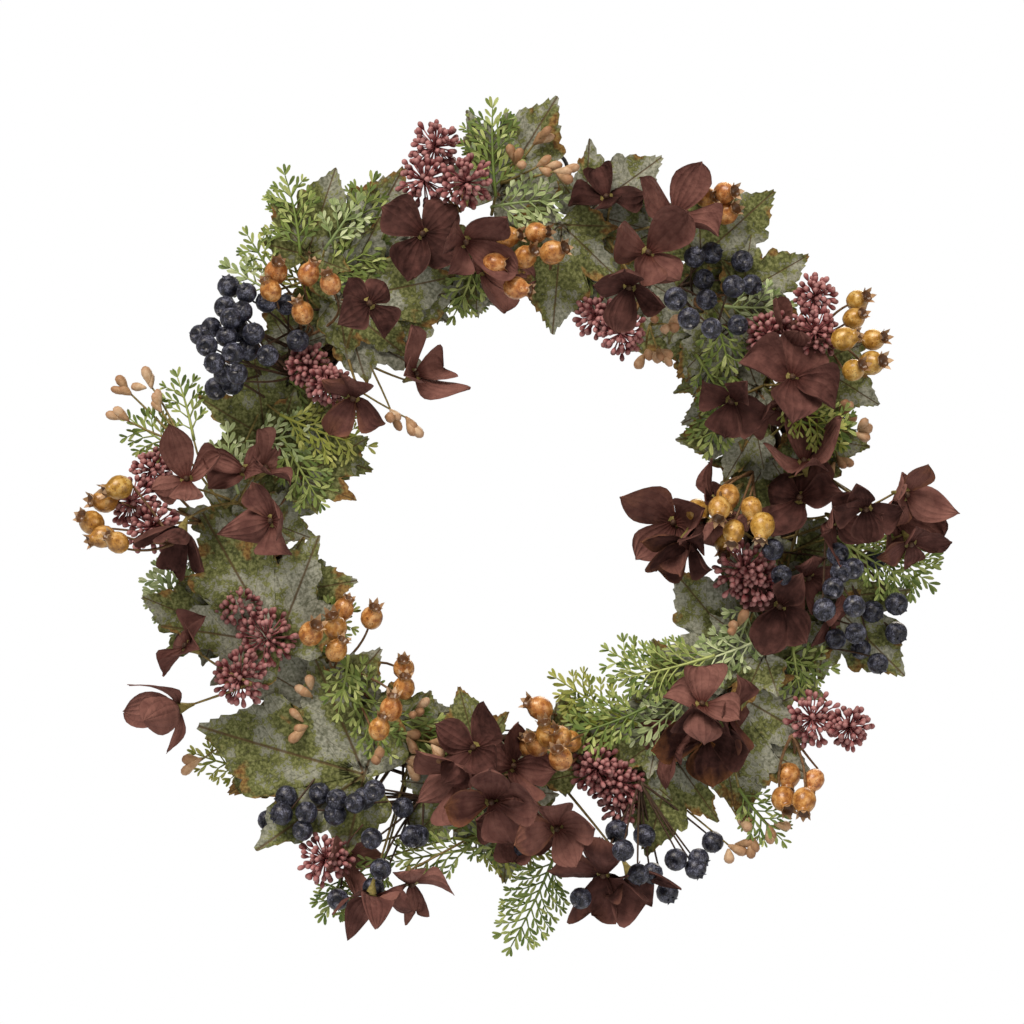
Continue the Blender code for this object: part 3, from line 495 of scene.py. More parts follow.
def maple_leaf(pieces, matrix, length, olive, rng, rings=9):
    """A five-lobed fabric leaf: dished, pleated between its veins and curled at the tips."""
    edge = leaf_edge(rng)
    rays = len(edge)
    veins = np.radians(np.array(LEAF_VEINS))
    curl = rng.uniform(-0.28, 0.16)
    roll = rng.uniform(-0.10, 0.16)
    seed = rng.uniform(0.0, 100.0)
    points = [(0.0, 0.0, 0.0)]
    place = [(0.0, 0.0, 0.0)]
    for i in range(1, rings + 1):
        share = i / rings
        for x, y in edge * share:
            r = math.hypot(x, y)
            off = float(np.min(np.abs(math.atan2(y, x) - veins)))
            along, across = r * math.cos(off), r * math.sin(off)
            z = LEAF_DISH * ((x - 0.38) ** 2 + y * y) + curl * max(0.0, x - 0.35) ** 2 + roll * y * abs(y)
            z += 0.07 * min(across, 0.16) - 0.10 * max(0.0, r - 0.55) ** 2
            z += 0.045 * noise.noise((x * 3.2 + seed, y * 3.2, 0.0)) * share
            z += 0.020 * noise.noise((x * 9.0 + seed, y * 9.0, 3.0))
            points.append((x * length, y * length, z * length))
            place.append((share, across, along - 1.15 * across))
    faces = [(1 + j, 1 + (j + 1) % rays, 0) for j in range(rays)]
    faces += [tuple(1 + k for k in face) for face in grid_faces(rings, rays, closed=True)]
    pieces.add(carried(np.array(points), matrix), faces, 0, place, (rng.random(), olive, rng.random()))


def petal(pieces, matrix, reach, turn, rise, slim, rng, ochre, shade, rows=12, columns=9):
    """One rounded petal, narrow at its foot, hollow along its length and rolled at its end."""
    widest = rng.uniform(0.46, 0.62) - 0.12 * slim
    taper = rng.uniform(0.5, 0.75) + 0.3 * slim
    trough = rng.uniform(0.2, 1.1) if rng.random() < 0.7 else rng.uniform(-0.8, -0.2)
    roll = rng.uniform(-2.6, 1.2)
    twist = rng.uniform(-0.35, 0.35)
    point = rng.uniform(1.15, 2.3)
    fold = rng.uniform(-0.15, 0.45)
    seed = rng.uniform(0.0, 50.0)
    points = []
    place = []
    for i in range(rows):
        s = math.sin(math.pi / 2.0 * i / (rows - 1))
        if s < 0.62:
            half = 0.10 + (widest - 0.10) * math.sin(math.pi / 2.0 * s / 0.62) ** 1.2
        else:
            half = widest * max(0.0, 1.0 - ((s - 0.62) / 0.38) ** point) ** taper
        half = max(half, 0.035)
        for j in range(columns):
            t = 2.0 * j / (columns - 1) - 1.0
            x = 0.04 + 0.96 * s * (1.0 - 0.06 * t * t)
            y = half * t * (1.0 - 0.12 * abs(trough) * t * t)
            z = rise * s * s + trough * half * t * t * min(1.0, 2.0 * s) + roll * max(0.0, s - 0.6) ** 2
            z += twist * t * half * s + 0.05 * noise.noise((s * 2.5 + seed, t * 1.5, 0.0)) * s
            z += 0.012 * math.sin(8.0 * t + seed) * s + fold * half * abs(t) * s
            z += 0.035 * noise.noise((s * 6.0 + seed, t * 4.0, 5.0)) * s
            points.append((x * reach, y * reach, z * reach))
            place.append((s, t, seed))
    spin = Matrix.Rotation(turn, 4, "Z")
    faces = grid_faces(rows, columns)
    pieces.add(carried(np.array(points), matrix @ spin), faces, 0, place, (shade, ochre, rng.random()))


def floret(pieces, matrix, width, ochre, lean, rng):
    """Four petals, the pip between them and the tapered calyx behind; a leaning one opens less."""
    rise = rng.uniform(0.0, 0.7) + lean * 0.003
    shade = rng.random()
    for k in range(4):
        turn = math.pi / 2.0 * k + rng.uniform(-0.30, 0.30)
        lift = Matrix.Translation(Vector((0.0, 0.0, 0.0009 * (k % 2))))
        reach = width / 2.0 * rng.uniform(0.92, 1.16)
        edge = ochre if k == 0 or rng.random() < 0.25 else ochre * 0.15
        petal(pieces, matrix @ lift, reach, turn, rise + rng.uniform(-0.5, 0.5), lean / 90.0, rng, edge,
              shade)
    pip, faces = turned(((0.0004, -0.0008), (0.0017, 0.0003), (0.0021, 0.0014), (0.0012, 0.0026),
                         (0.0003, 0.0029)), 8)
    pieces.add(carried(pip, matrix), faces, 2, tone=(0.2, 0.0, 0.0))
    calyx, faces = turned(((0.0009, -0.0105), (0.0017, -0.0065), (0.0034, -0.0014), (0.0040, 0.0006)), 8)
    pieces.add(carried(calyx, matrix), faces, 1, tone=(rng.random(), 0.8, 0.0))


def rose_hip(pieces, matrix, radius, yellow, rng):
    """A hip with the jagged, hollow tube of its crown."""
    size = radius * rng.uniform(0.84, 1.0)
    shares = ((0.10, -1.10), (0.42, -1.02), (0.76, -0.76), (0.96, -0.34), (1.0, 0.05), (0.93, 0.42),
              (0.76, 0.74), (0.60, 0.92), (0.53, 1.04), (0.55, 1.24), (0.60, 1.36), (0.47, 1.28),
              (0.38, 1.0), (0.06, 0.92))
    points, faces = turned([(r * size, h * size) for r, h in shares], 18)
    place = points / size
    place[-3 * 18:, 2] = 3.0
    dents = [noise.noise(Vector(p) * 2.2 + Vector((rng.random(), 0.0, 0.0))) for p in place]
    points = points * (1.0 + 0.035 * np.array(dents))[:, None]
    tone = (rng.random(), min(1.0, max(0.0, yellow + rng.uniform(-0.25, 0.25))), rng.random())
    pieces.add(carried(points, matrix), faces, 0, place, tone)
    rim = matrix @ Matrix.Translation(Vector((0.0, 0.0, 1.24 * size)))
    crown(pieces, rim, 2, (tone[0], 0.5, 0.0), 6, 0.56 * size, 0.66 * size, rng.uniform(0.35, 0.6) * size,
          rng.uniform(0.0, 0.25) * size)


def blueberry(pieces, matrix, radius, rng):
    """A berry with the small five-pointed star at its end."""
    size = radius * rng.uniform(0.93, 1.05)
    shares = ((0.10, -0.96), (0.50, -0.84), (0.84, -0.52), (1.0, -0.02), (0.93, 0.38), (0.70, 0.70),
              (0.46, 0.86), (0.38, 0.84), (0.30, 0.72), (0.08, 0.68))
    points, faces = turned([(r * size, h * size) for r, h in shares], 16)
    tone = (rng.random(), 0.0, 0.0)
    pieces.add(carried(points, matrix), faces, 0, points / size, tone)
    rim = matrix @ Matrix.Translation(Vector((0.0, 0.0, 0.80 * size)))
    crown(pieces, rim, 0, (tone[0], 1.0, 0.0), 5, 0.40 * size, 0.50 * size, 0.20 * size, 0.08 * size)


def pointed_bud(pieces, matrix, radius, length, tone, sides=7):
    """A closed bud: a drop with a pinched point."""
    shares = ((0.22, 0.0), (0.50, 0.18), (0.86, 0.45), (1.0, 0.68), (0.80, 0.88), (0.30, 1.0))
    points, faces = turned([(r * radius, h * length) for r, h in shares], sides)
    flute = np.array([1.0 - 0.10 * (k % 2) for k in range(sides)] * len(shares))
    points[:, 0] *= flute
    points[:, 1] *= flute
    place = np.column_stack((points[:, 2] / length, points[:, 0] / radius, points[:, 1] / radius))
    pieces.add(carried(points, matrix), faces, 0, place, tone)


def leaflets_on(pieces, line, side_axis, size, kind, shade, rng):
    """Pairs of narrow leaflets along a side stalk, and one at its end."""
    count = len(line)
    wide = (1.0, 1.2, 1.0)[kind]
    for i in range(1, count):
        along = Vector(line[i] - line[i - 1]).normalized()
        reach = size * (1.05 - 0.35 * i / count) * rng.uniform(0.85, 1.15)
        for side in (-1.0, 1.0, 0.0) if i == count - 1 else (-1.0, 1.0):
            out = (along + side_axis * side * rng.uniform(0.4, 0.7)).normalized()
            up = (FORWARD + Vector([rng.uniform(-0.45, 0.45) for _ in range(3)])).normalized()
            matrix = facing_matrix(Vector(line[i]), up, out)
            points = [(x * reach, y * reach * wide, reach * (0.14 * math.sin(math.pi * x) - abs(y) * 0.5))
                      for x, y in LEAFLET]
            place = [(x, y * 5.0, i / count) for x, y in LEAFLET]
            pieces.add(carried(np.array(points), matrix), [tuple(range(len(LEAFLET)))], 0, place,
                       (rng.random(), kind * 0.5, shade))


def fern_frond(pieces, base, tip, kind, rng):
    """A frond: a stalk, side stalks in pairs, and leaflets in pairs on those."""
    along = (tip - base).normalized()
    length = (tip - base).length
    side_axis = along.cross(FORWARD).normalized()
    droop = Vector((rng.uniform(-0.08, 0.08), rng.uniform(-0.10, 0.02), rng.uniform(-0.08, 0.04))) * length
    stations = max(6, int(length / MM / 5.8))
    spine = bent_line(base, tip - along * 0.006, droop, stations)
    shade = rng.random()
    tone = (shade, kind * 0.5, shade)
    points, faces = tube(spine, np.linspace(0.0011, 0.0004, len(spine)), 5)
    pieces.add(points, faces, 0, np.full_like(points, 0.3), tone)
    broad = (0.31, 0.34, 0.28)[kind]
    for i in range(1, stations - 2):
        share = i / (stations - 1)
        full = math.sin(math.pi * min(1.0, 0.16 + 0.84 * share) ** 0.9) ** 0.7
        for side in (-1.0, 1.0):
            reach = length * broad * full * rng.uniform(0.75, 1.1)
            lean = rng.uniform(0.7, 1.1)
            out = (along * lean + side_axis * side + FORWARD * rng.uniform(-0.25, 0.35)).normalized()
            start = Vector(spine[i])
            stalk = bent_line(start, start + out * reach, along * reach * 0.15, max(3, int(reach / 0.0031)))
            points, faces = tube(stalk, np.linspace(0.0006, 0.0003, len(stalk)), 4)
            pieces.add(points, faces, 0, np.full_like(points, 0.3), tone)
            cross = out.cross(FORWARD).normalized()
            leaflets_on(pieces, stalk, cross, (7.0, 6.8, 6.6)[kind] * MM, kind, shade, rng)
    leaflets_on(pieces, spine[-4:], side_axis, 9.0 * MM, kind, shade, rng)


# ---------------------------------------------------------------- materials

def linear(channel):
    """One sRGB channel, 0 to 1, as a linear value."""
    if channel <= 0.04045:
        return channel / 12.92
    return ((channel + 0.055) / 1.055) ** 2.4


def colour(code):
    """A linear colour with alpha from an sRGB hex code."""
    return tuple(linear(int(code[i:i + 2], 16) / 255.0) for i in (0, 2, 4)) + (1.0,)


def grey(value):
    """A linear grey."""
    return (value, value, value, 1.0)


def fade(start, end, first, last):
    """Colour stops of a mask that goes from one grey to another."""
    return ((start, grey(first)), (end, grey(last)))


def grains(size_mm):
    """Noise scale whose grains are about this many millimetres."""
    return 1.0 / (size_mm * MM)


def add_node(tree, kind, *inputs, stops=(), output=0, **settings):
    """Add a node with its settings, its values or links in order, and its colour stops; give an output."""
    node = tree.nodes.new("ShaderNode" + kind)
    for key, value in settings.items():
        setattr(node, key, value)
    for socket, value in zip([socket for socket in node.inputs if socket.enabled], inputs):
        if isinstance(value, bpy.types.NodeSocket):
            tree.links.new(value, socket)
        else:
            socket.default_value = value
    if stops:
        elements = node.color_ramp.elements
        while len(elements) < len(stops):
            elements.new(0.5)
        for element, (position, value) in zip(elements, stops):
            element.position = position
            element.color = value
    return [socket for socket in node.outputs if socket.enabled][output]


def weighed(tree, *shares, base=0.0):
    """The sum of values, each times its share."""
    for value, share in shares:
        base = add_node(tree, "Math", value, share, base, operation="MULTIPLY_ADD")
    return base


def one_of_three(tree, choice, shades):
    """One of three colours: the first where the choice is 0, the second at a half, the third at 1."""
    first = add_node(tree, "Math", choice, 2.0, operation="MULTIPLY", use_clamp=True)
    second = add_node(tree, "Math", choice, 2.0, -1.0, operation="MULTIPLY_ADD", use_clamp=True)
    tint = add_node(tree, "Mix", first, shades[0], shades[1], data_type="RGBA")
    return add_node(tree, "Mix", second, tint, shades[2], data_type="RGBA")


def over(tree, tint, value, stops, shade):
    """The tint with a shade laid over it where a value's mask lets it."""
    mask = add_node(tree, "ValToRGB", value, stops=stops)
    return add_node(tree, "Mix", mask, tint, shade, data_type="RGBA")


def started(name, roughness, specular, **sockets):
    """A new material, its tree, the parts of the place and tone its mesh carries, and where it is."""
    material = bpy.data.materials.new(name)
    material.use_nodes = True
    tree = material.node_tree
    shader = tree.nodes["Principled BSDF"]
    shader.inputs["Roughness"].default_value = roughness
    shader.inputs["Specular IOR Level"].default_value = specular
    for key, value in sockets.items():
        shader.inputs[key.replace("_", " ")].default_value = value
    place = add_node(tree, "Attribute", attribute_name="place", output=1)
    tone = add_node(tree, "Attribute", attribute_name="tone", output=1)
    place_parts = add_node(tree, "SeparateXYZ", place).node.outputs
    tone_parts = add_node(tree, "SeparateXYZ", tone).node.outputs
    spot = add_node(tree, "TexCoord", output=3)
    spot = add_node(tree, "VectorMath", tone, (0.37, 0.0, 0.23), spot, operation="MULTIPLY_ADD")
    return material, tree, place_parts, tone_parts, spot


def finished(material, tint, relief=None, strength=0.0, distance=0.0):
    """The material with its colour and its relief linked to its shader."""
    tree = material.node_tree
    shader = tree.nodes["Principled BSDF"]
    tree.links.new(tint, shader.inputs["Base Color"])
    if relief is not None:
        bump = add_node(tree, "Bump", strength, distance)
        tree.links.new(relief, bump.node.inputs["Height"])
        tree.links.new(bump, shader.inputs["Normal"])
    return material


def bark_material(colours):
    """Dried grapevine: dark, dull bark with paler split fibres."""
    material, tree, place, tone, spot = started("dried_grapevine_bark", 0.92, 0.2)
    fibres = add_node(tree, "TexNoise", spot, grains(2.5), 6.0)
    tint = add_node(tree, "ValToRGB", fibres,
                    stops=((0.30, colour("120d0a")), (0.52, colours.bark), (0.72, colour("57432f"))))
    paler = add_node(tree, "Math", tone[0], 0.5, operation="MULTIPLY")
    tint = add_node(tree, "Mix", paler, tint, colour("57412f"), data_type="RGBA")
    return finished(material, tint, add_node(tree, "TexNoise", spot, grains(0.8), 5.0), 0.7, 0.0012)


def wire_material(colours):
    """PVC-coated steel wire: black and satin, with faint drawing marks."""
    material, tree, place, tone, spot = started("pvc_coated_wire", 0.38, 0.5)
    marks = add_node(tree, "TexNoise", spot, grains(3.0), 3.0)
    tint = add_node(tree, "ValToRGB", marks, stops=((0.35, colours.wire), (0.7, colour("242427"))))
    return finished(material, tint, add_node(tree, "TexNoise", spot, grains(0.5), 3.0), 0.15, 0.0003)


def maple_material(colours):
    """Printed and flocked polyester: frosted grey-green, mossy olive blotches, rust rims, brown veins."""
    material, tree, place, tone, spot = started("printed_polyester_maple", 0.82, 0.2)
    patch = add_node(tree, "TexNoise", spot, grains(19.0), 4.0)
    # Flock fibres are about 0.3 mm, too fine to show, so their clumps are drawn instead.
    clumps = add_node(tree, "TexNoise", spot, grains(1.9), 6.0)
    frost = add_node(tree, "ValToRGB", weighed(tree, (patch, 0.4), (clumps, 0.6)),
                     stops=((0.36, colour("666a5a")), (0.50, colours.leaf), (0.62, colour("b6b9ae"))))
    moss = weighed(tree, (patch, 0.72), (clumps, 0.28), (place[0], 0.05), (tone[1], 0.14))
    olive = add_node(tree, "ValToRGB", clumps,
                     stops=((0.36, colour("3b401c")), (0.5, colours.moss), (0.64, colour("7c8150"))))
    tint = over(tree, frost, moss, fade(0.570, 0.600, 0.0, 0.95), olive)
    rust = weighed(tree, (place[0], 0.8), (patch, 1.2), base=-0.6)
    brown = add_node(tree, "ValToRGB", clumps, stops=((0.38, colour("6b4526")), (0.62, colour("94713f"))))
    tint = over(tree, tint, rust, fade(0.80, 0.88, 0.0, 0.8), brown)
    # Side veins leave the main ones every tenth of the leaf's length.
    side = add_node(tree, "Math", place[2], 62.0, operation="MULTIPLY")
    side = add_node(tree, "Math", side, operation="SINE")
    tint = over(tree, tint, side, fade(0.95, 1.0, 0.0, 0.5), colour("55523b"))
    main_mask = add_node(tree, "ValToRGB", place[1], stops=fade(0.004, 0.011, 0.85, 0.0))
    tint = add_node(tree, "Mix", main_mask, tint, colour("54432d"), data_type="RGBA")
    return finished(material, tint, weighed(tree, (clumps, 1.0), (main_mask, -1.0)), 0.5, 0.0008)


def hydrangea_material(colours):
    """Stamped polyester satin petals: burgundy brown with radiating veins, and painted shade towards each
    petal's foot, where the petals meet at the floret's middle.
    """
    material, tree, place, tone, spot = started("stamped_polyester_petal", 0.85, 0.12)
    mottle = add_node(tree, "TexNoise", spot, grains(7.0), 4.0)
    tint = add_node(tree, "ValToRGB", weighed(tree, (mottle, 0.6), (tone[0], 0.4)),
                    stops=((0.25, colour("3a2422")), (0.5, colours.petal), (0.75, colour("845c55"))))
    # Painted shade: each petal is darkened towards its foot, where the petals meet in the floret's middle.
    painted_throat_shade = add_node(tree, "ValToRGB", place[0], stops=((0.05, colour("94746e")), (0.40, grey(1.0))))
    tint = add_node(tree, "Mix", 1.0, tint, painted_throat_shade, data_type="RGBA", blend_type="MULTIPLY")
    rim = add_node(tree, "Math", place[1], operation="ABSOLUTE")
    rim = add_node(tree, "Math", place[0], rim, operation="MAXIMUM")
    tint = over(tree, tint, rim, fade(0.82, 1.0, 0.0, 0.35), colour("7f5a53"))
    faded = weighed(tree, (rim, 1.0), (mottle, 1.0), base=-1.05)
    faded = add_node(tree, "Math", tone[1], faded, operation="MULTIPLY", use_clamp=True)
    tint = over(tree, tint, faded, fade(0.02, 0.30, 0.0, 0.85), colour("8a5a2c"))
    lines = add_node(tree, "Math", place[1], 9.5, operation="MULTIPLY")
    lines = add_node(tree, "Math", lines, operation="SINE")
    lines = add_node(tree, "Math", lines, operation="ABSOLUTE")
    tint = over(tree, tint, lines, fade(0.0, 0.14, 0.3, 0.0), colour("33201d"))
    crease = add_node(tree, "TexNoise", spot, grains(3.2), 3.0)
    return finished(material, tint, weighed(tree, (lines, 0.4), (mottle, 1.0), (crease, 1.0)), 0.65, 0.0016)


def fern_material(colours):
    """Injection-moulded polyethylene greenery: satin, each leaflet a little darker along its middle."""
    material, tree, place, tone, spot = started("moulded_polyethylene_fern", 0.50, 0.4)
    shade = weighed(tree, (add_node(tree, "TexNoise", spot, grains(5.0), 3.0), 0.5), (tone[0], 0.5))
    greens = [add_node(tree, "ValToRGB", shade, stops=((0.25, dark), (0.5, main), (0.8, light)))
              for dark, main, light in ((colour("566e2e"), colours.fern, colour("bac57c")),
                                        (colour("768a55"), colours.pale_fern, colour("cdd8b0")),
                                        (colour("77822f"), colours.lime_fern, colour("bcbe72")))]
    tint = one_of_three(tree, tone[1], greens)
    rib = add_node(tree, "Math", place[1], operation="ABSOLUTE")
    tint = over(tree, tint, rib, fade(0.0, 0.25, 0.35, 0.0), colour("48612f"))
    return finished(material, tint, add_node(tree, "TexNoise", spot, grains(1.2), 3.0), 0.3, 0.0005)


def stem_material(colours):
    """Moulded stems over wire: black, brown or olive with a bark-like skin, from the pick's tone."""
    material, tree, place, tone, spot = started("moulded_wire_stem", 0.62, 0.35)
    mottle = add_node(tree, "TexNoise", spot, grains(1.8), 4.0)
    skins = [add_node(tree, "ValToRGB", mottle, stops=((0.3, dark), (0.7, light)))
             for dark, light in ((colour("1c1512"), colour("3c2b22")), (colours.stem, colour("8a6a48")),
                                 (colour("66672f"), colour("94924f")))]
    return finished(material, one_of_three(tree, tone[1], skins), mottle, 0.4, 0.0004)


def pip_material(colours):
    """Moulded pip at a floret's middle: small, dark and dull."""
    material, tree, place, tone, spot = started("moulded_floret_pip", 0.6, 0.3)
    mottle = add_node(tree, "TexNoise", spot, grains(0.8), 3.0)
    return finished(material, add_node(tree, "ValToRGB", mottle,
                                       stops=((0.3, colours.pip), (0.7, colour("5b4230")))))


def hip_material(colours):
    """Lacquered foam hips: glossy orange to ochre, with fine dark specks and a brown crown."""
    material, tree, place, tone, spot = started("lacquered_foam_hip", 0.36, 0.45,
                                                Coat_Weight=0.18, Coat_Roughness=0.22)
    mottle = add_node(tree, "TexNoise", spot, grains(4.0), 5.0)
    orange = add_node(tree, "ValToRGB", mottle, stops=((0.36, colour("8d4f28")), (0.5, colours.orange_hip),
                                                       (0.62, colour("d6a26c"))))
    yellow = add_node(tree, "ValToRGB", mottle, stops=((0.34, colour("8e6a26")), (0.5, colours.yellow_hip),
                                                       (0.64, colour("cfae66"))))
    tint = add_node(tree, "Mix", tone[1], orange, yellow, data_type="RGBA")
    specks = add_node(tree, "TexNoise", spot, grains(0.9), 2.0)
    tint = over(tree, tint, specks, fade(0.60, 0.67, 0.0, 0.85), colour("63341a"))
    crown_end = add_node(tree, "Math", place[2], 0.3, operation="MULTIPLY")
    tint = over(tree, tint, crown_end, ((0.28, grey(0.0)), (0.40, grey(0.5)), (0.60, grey(1.0))),
                colour("5f3d20"))
    return finished(material, tint, mottle, 0.25, 0.0008)


def berry_material(colours):
    """Dipped foam blueberries: near-black blue with a dry, whitish bloom."""
    material, tree, place, tone, spot = started("dipped_foam_blueberry", 0.42, 0.45)
    bloom = weighed(tree, (add_node(tree, "TexNoise", spot, grains(3.5), 4.0), 0.5),
                    (add_node(tree, "TexNoise", spot, grains(0.8), 3.0), 0.5))
    tint = add_node(tree, "ValToRGB", bloom,
                    stops=((0.41, colour("14151d")), (0.51, colours.berry), (0.65, colour("767b92"))))
    tint = over(tree, tint, place[2], fade(0.60, 0.80, 0.0, 0.5), colour("101016"))
    dry = add_node(tree, "ValToRGB", bloom, stops=fade(0.4, 0.7, 0.32, 0.7))
    tree.links.new(dry, tree.nodes["Principled BSDF"].inputs["Roughness"])
    return finished(material, tint, bloom, 0.2, 0.0005)


def sedum_material(colours):
    """Coated foam buds: dusty rose-purple, paler and drier at the tip."""
    material, tree, place, tone, spot = started("coated_foam_sedum", 0.58, 0.35)
    shade = weighed(tree, (add_node(tree, "TexNoise", spot, grains(3.0), 3.0), 0.5), (tone[0], 0.5))
    tint = add_node(tree, "ValToRGB", shade,
                    stops=((0.25, colour("5c2b30")), (0.5, colours.sedum), (0.78, colour("ab7275"))))
    tint = over(tree, tint, place[0], fade(0.55, 1.0, 0.0, 0.4), colour("c29a98"))
    return finished(material, tint, add_node(tree, "TexNoise", spot, grains(0.8), 3.0), 0.3, 0.0004)


def bud_material(colours):
    """Moulded and brushed buds: tan with a pinkish blush towards the point."""
    material, tree, place, tone, spot = started("moulded_tan_bud", 0.55, 0.35)
    shade = weighed(tree, (add_node(tree, "TexNoise", spot, grains(2.5), 3.0), 0.6), (tone[0], 0.4))
    tint = add_node(tree, "ValToRGB", shade,
                    stops=((0.25, colour("86684a")), (0.5, colours.bud), (0.78, colour("cfb698"))))
    tint = over(tree, tint, place[0], fade(0.4, 1.0, 0.0, 0.35), colour("a0674f"))
    return finished(material, tint, add_node(tree, "TexNoise", spot, grains(0.9), 3.0), 0.3, 0.0005)


MATERIALS = {}


def finish_of(name):
    """A material made once and shared by the pieces that have its finish."""
    makers = {"bark": bark_material, "wire": wire_material, "maple": maple_material,
              "hydrangea": hydrangea_material, "fern": fern_material, "stem": stem_material,
              "pip": pip_material, "hip": hip_material, "berry": berry_material,
              "sedum": sedum_material, "bud": bud_material}
    if name not in MATERIALS:
        MATERIALS[name] = makers[name](bpy.context.scene.wreath_colours)
    return MATERIALS[name]


# ---------------------------------------------------------------- picks

def dressed(pieces, node, finishes):
    """Stand a pick's finished shapes in for its CAD node."""
    piece = pieces.build(node + "_look", [finish_of(name) for name in finishes])
    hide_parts(node)
    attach(piece, BODY_OF[node])
    return piece


class Pick:
    """What the heads of one pick share while they are laid."""

    def __init__(self, node, place):
        self.node = node
        self.rng = random.Random(node)
        self.pieces = Pieces()
        self.fixed = BODY_OF[node] == "wreath"
        spot = laid_out(*place)
        depth = fronts.nearest(node, with_depth(spot, dome_depth(spot) + 0.01))
        self.foot = with_depth(spot, min(depth, FOOT_DEPTH) if self.fixed else depth)

    def lift(self, points, depth_mm):
        """How far to bring a shape forward: to its own depth, or to the node's solid."""
        if depth_mm is None:
            return lift_of(self.node, points)
        return depth_mm * MM - depth_of(points[0])

    def middle(self, clock, distance, radius, depth_mm):
        """The middle of a round head."""
        spot = laid_out(clock, distance)
        return with_depth(spot, self.lift([spot], depth_mm) - radius)

    def stem(self, end, clock, depth_mm, skin, radius, bow=0.12):
        """A thin stem to a head from the pick's foot, or from the vine beside it; gives its start."""
        rng = self.rng
        start = self.foot
        if depth_mm is not None and self.fixed:
            start = (MIDDLE + FORWARD * VINE_DEPTH + heading(clock + rng.uniform(-4.0, 14.0)) *
                     (RING_RADIUS + rng.uniform(-12.0, 12.0) * MM))
        tone = (rng.random(), skin, 0.0)
        side = Vector((rng.uniform(-1, 1), rng.uniform(0.4, 1.8), rng.uniform(-1, 1)))
        line = bent_line(start, end, side * (end - start).length * bow)
        radii = np.linspace(radius * 1.25, radius * 0.8, len(line))
        self.pieces.add(*tube(line, radii), 1, tone=tone)
        return start


def laid_down(clock, distance, tip_heading, length, share):
    """Base and tip of a leaf or frond, forward by a share of the dome."""
    base = laid_out(clock, distance)
    tip = base + heading(tip_heading) * length
    return [with_depth(point, dome_depth(point) * share) for point in (base, tip)]


def lay_leaf(pick, clock, distance, tip_heading, length_mm, olive, depth_mm=None):
    """A maple leaf on its stalk."""
    length = length_mm * MM
    base, tip = laid_down(clock, distance, tip_heading, length, LAY_SHARE)
    matrix = facing_matrix(base, FORWARD, tip - base)
    samples = [matrix @ Vector((share * length, 0.0, 0.0)) for share in (0.15, 0.38, 0.6, 0.8)]
    matrix = Matrix.Translation(FORWARD * pick.lift(samples, depth_mm)) @ matrix
    maple_leaf(pick.pieces, matrix, length, olive, pick.rng)
    pick.stem(matrix @ Vector((0.002, 0.0, 0.0005)), clock, depth_mm, 0.5, 0.0009)


def lay_frond(pick, clock, distance, tip_heading, length_mm, kind, depth_mm=None):
    """A frond laid like a leaf."""
    base, tip = laid_down(clock, distance, tip_heading, length_mm * MM, 1.0)
    samples = [base + (tip - base) * share for share in (0.2, 0.4, 0.6, 0.8)]
    rise = FORWARD * pick.lift(samples, depth_mm)
    fern_frond(pick.pieces, base + rise, tip + rise, kind, pick.rng)
    pick.stem(base + rise, clock, depth_mm, 0.8, 0.0008)


def lay_umbel(pick, clock, distance, width_mm, depth_mm=None):
    """A low dome of elongated sedum buds on stalks that part from one point."""
    rng = pick.rng
    width = width_mm * MM * 1.12
    root = pick.middle(clock, distance, width_mm * MM * 0.10, depth_mm) - FORWARD * width * 0.24
    pick.stem(root, clock, depth_mm, 0.55, 0.0009)
    count = int(38 + width / MM * 0.9)
    for k in range(count):
        share = (k + 0.5) / count
        tilt = math.acos(1.0 - share * 1.02)
        turn = k * GOLDEN_TURN
        out = Vector((math.cos(turn) * math.sin(tilt), -math.cos(tilt), math.sin(turn) * math.sin(tilt)))
        out = (out + Vector([rng.uniform(-0.16, 0.16) for _ in range(3)])).normalized()
        length = rng.uniform(4.4, 6.2) * MM
        foot = root + out * (width * rng.uniform(0.40, 0.56) - length * 0.75)
        points, faces = tube(bent_line(root, foot, (0.0, 0.0, 0.0), 3), [0.00045] * 3, 4)
        pick.pieces.add(points, faces, 0, np.full_like(points, 0.1), tone=(0.75, 0.5, 0.0))
        matrix = facing_matrix(foot, out, Vector((0.2, 0.3, 0.9)))
        radius = rng.uniform(1.5, 1.95) * MM
        pointed_bud(pick.pieces, matrix, radius, length, (rng.random(), share, rng.random()))


def lay_buds(pick, clock, distance, depth_mm=None):
    """Three tan buds at the end of a thin branch."""
    rng = pick.rng
    spot = pick.middle(clock, distance, 4.5 * MM, depth_mm)
    away = (spot - pick.stem(spot, clock, depth_mm, 0.75, 0.0007)).normalized()
    for k in range(3):
        turn = heading(rng.uniform(0, 360)) * 0.75
        out = (away + turn * (0.35 if k == 0 else 1.0)).normalized()
        matrix = facing_matrix(spot - away * 0.004 + out * 0.002 * k, out, Vector((0.21, 0.34, 0.91)))
        pointed_bud(pick.pieces, matrix, rng.uniform(2.6, 3.6) * MM, rng.uniform(8.5, 12.5) * MM,
                    (rng.random(), 0.0, rng.random()))


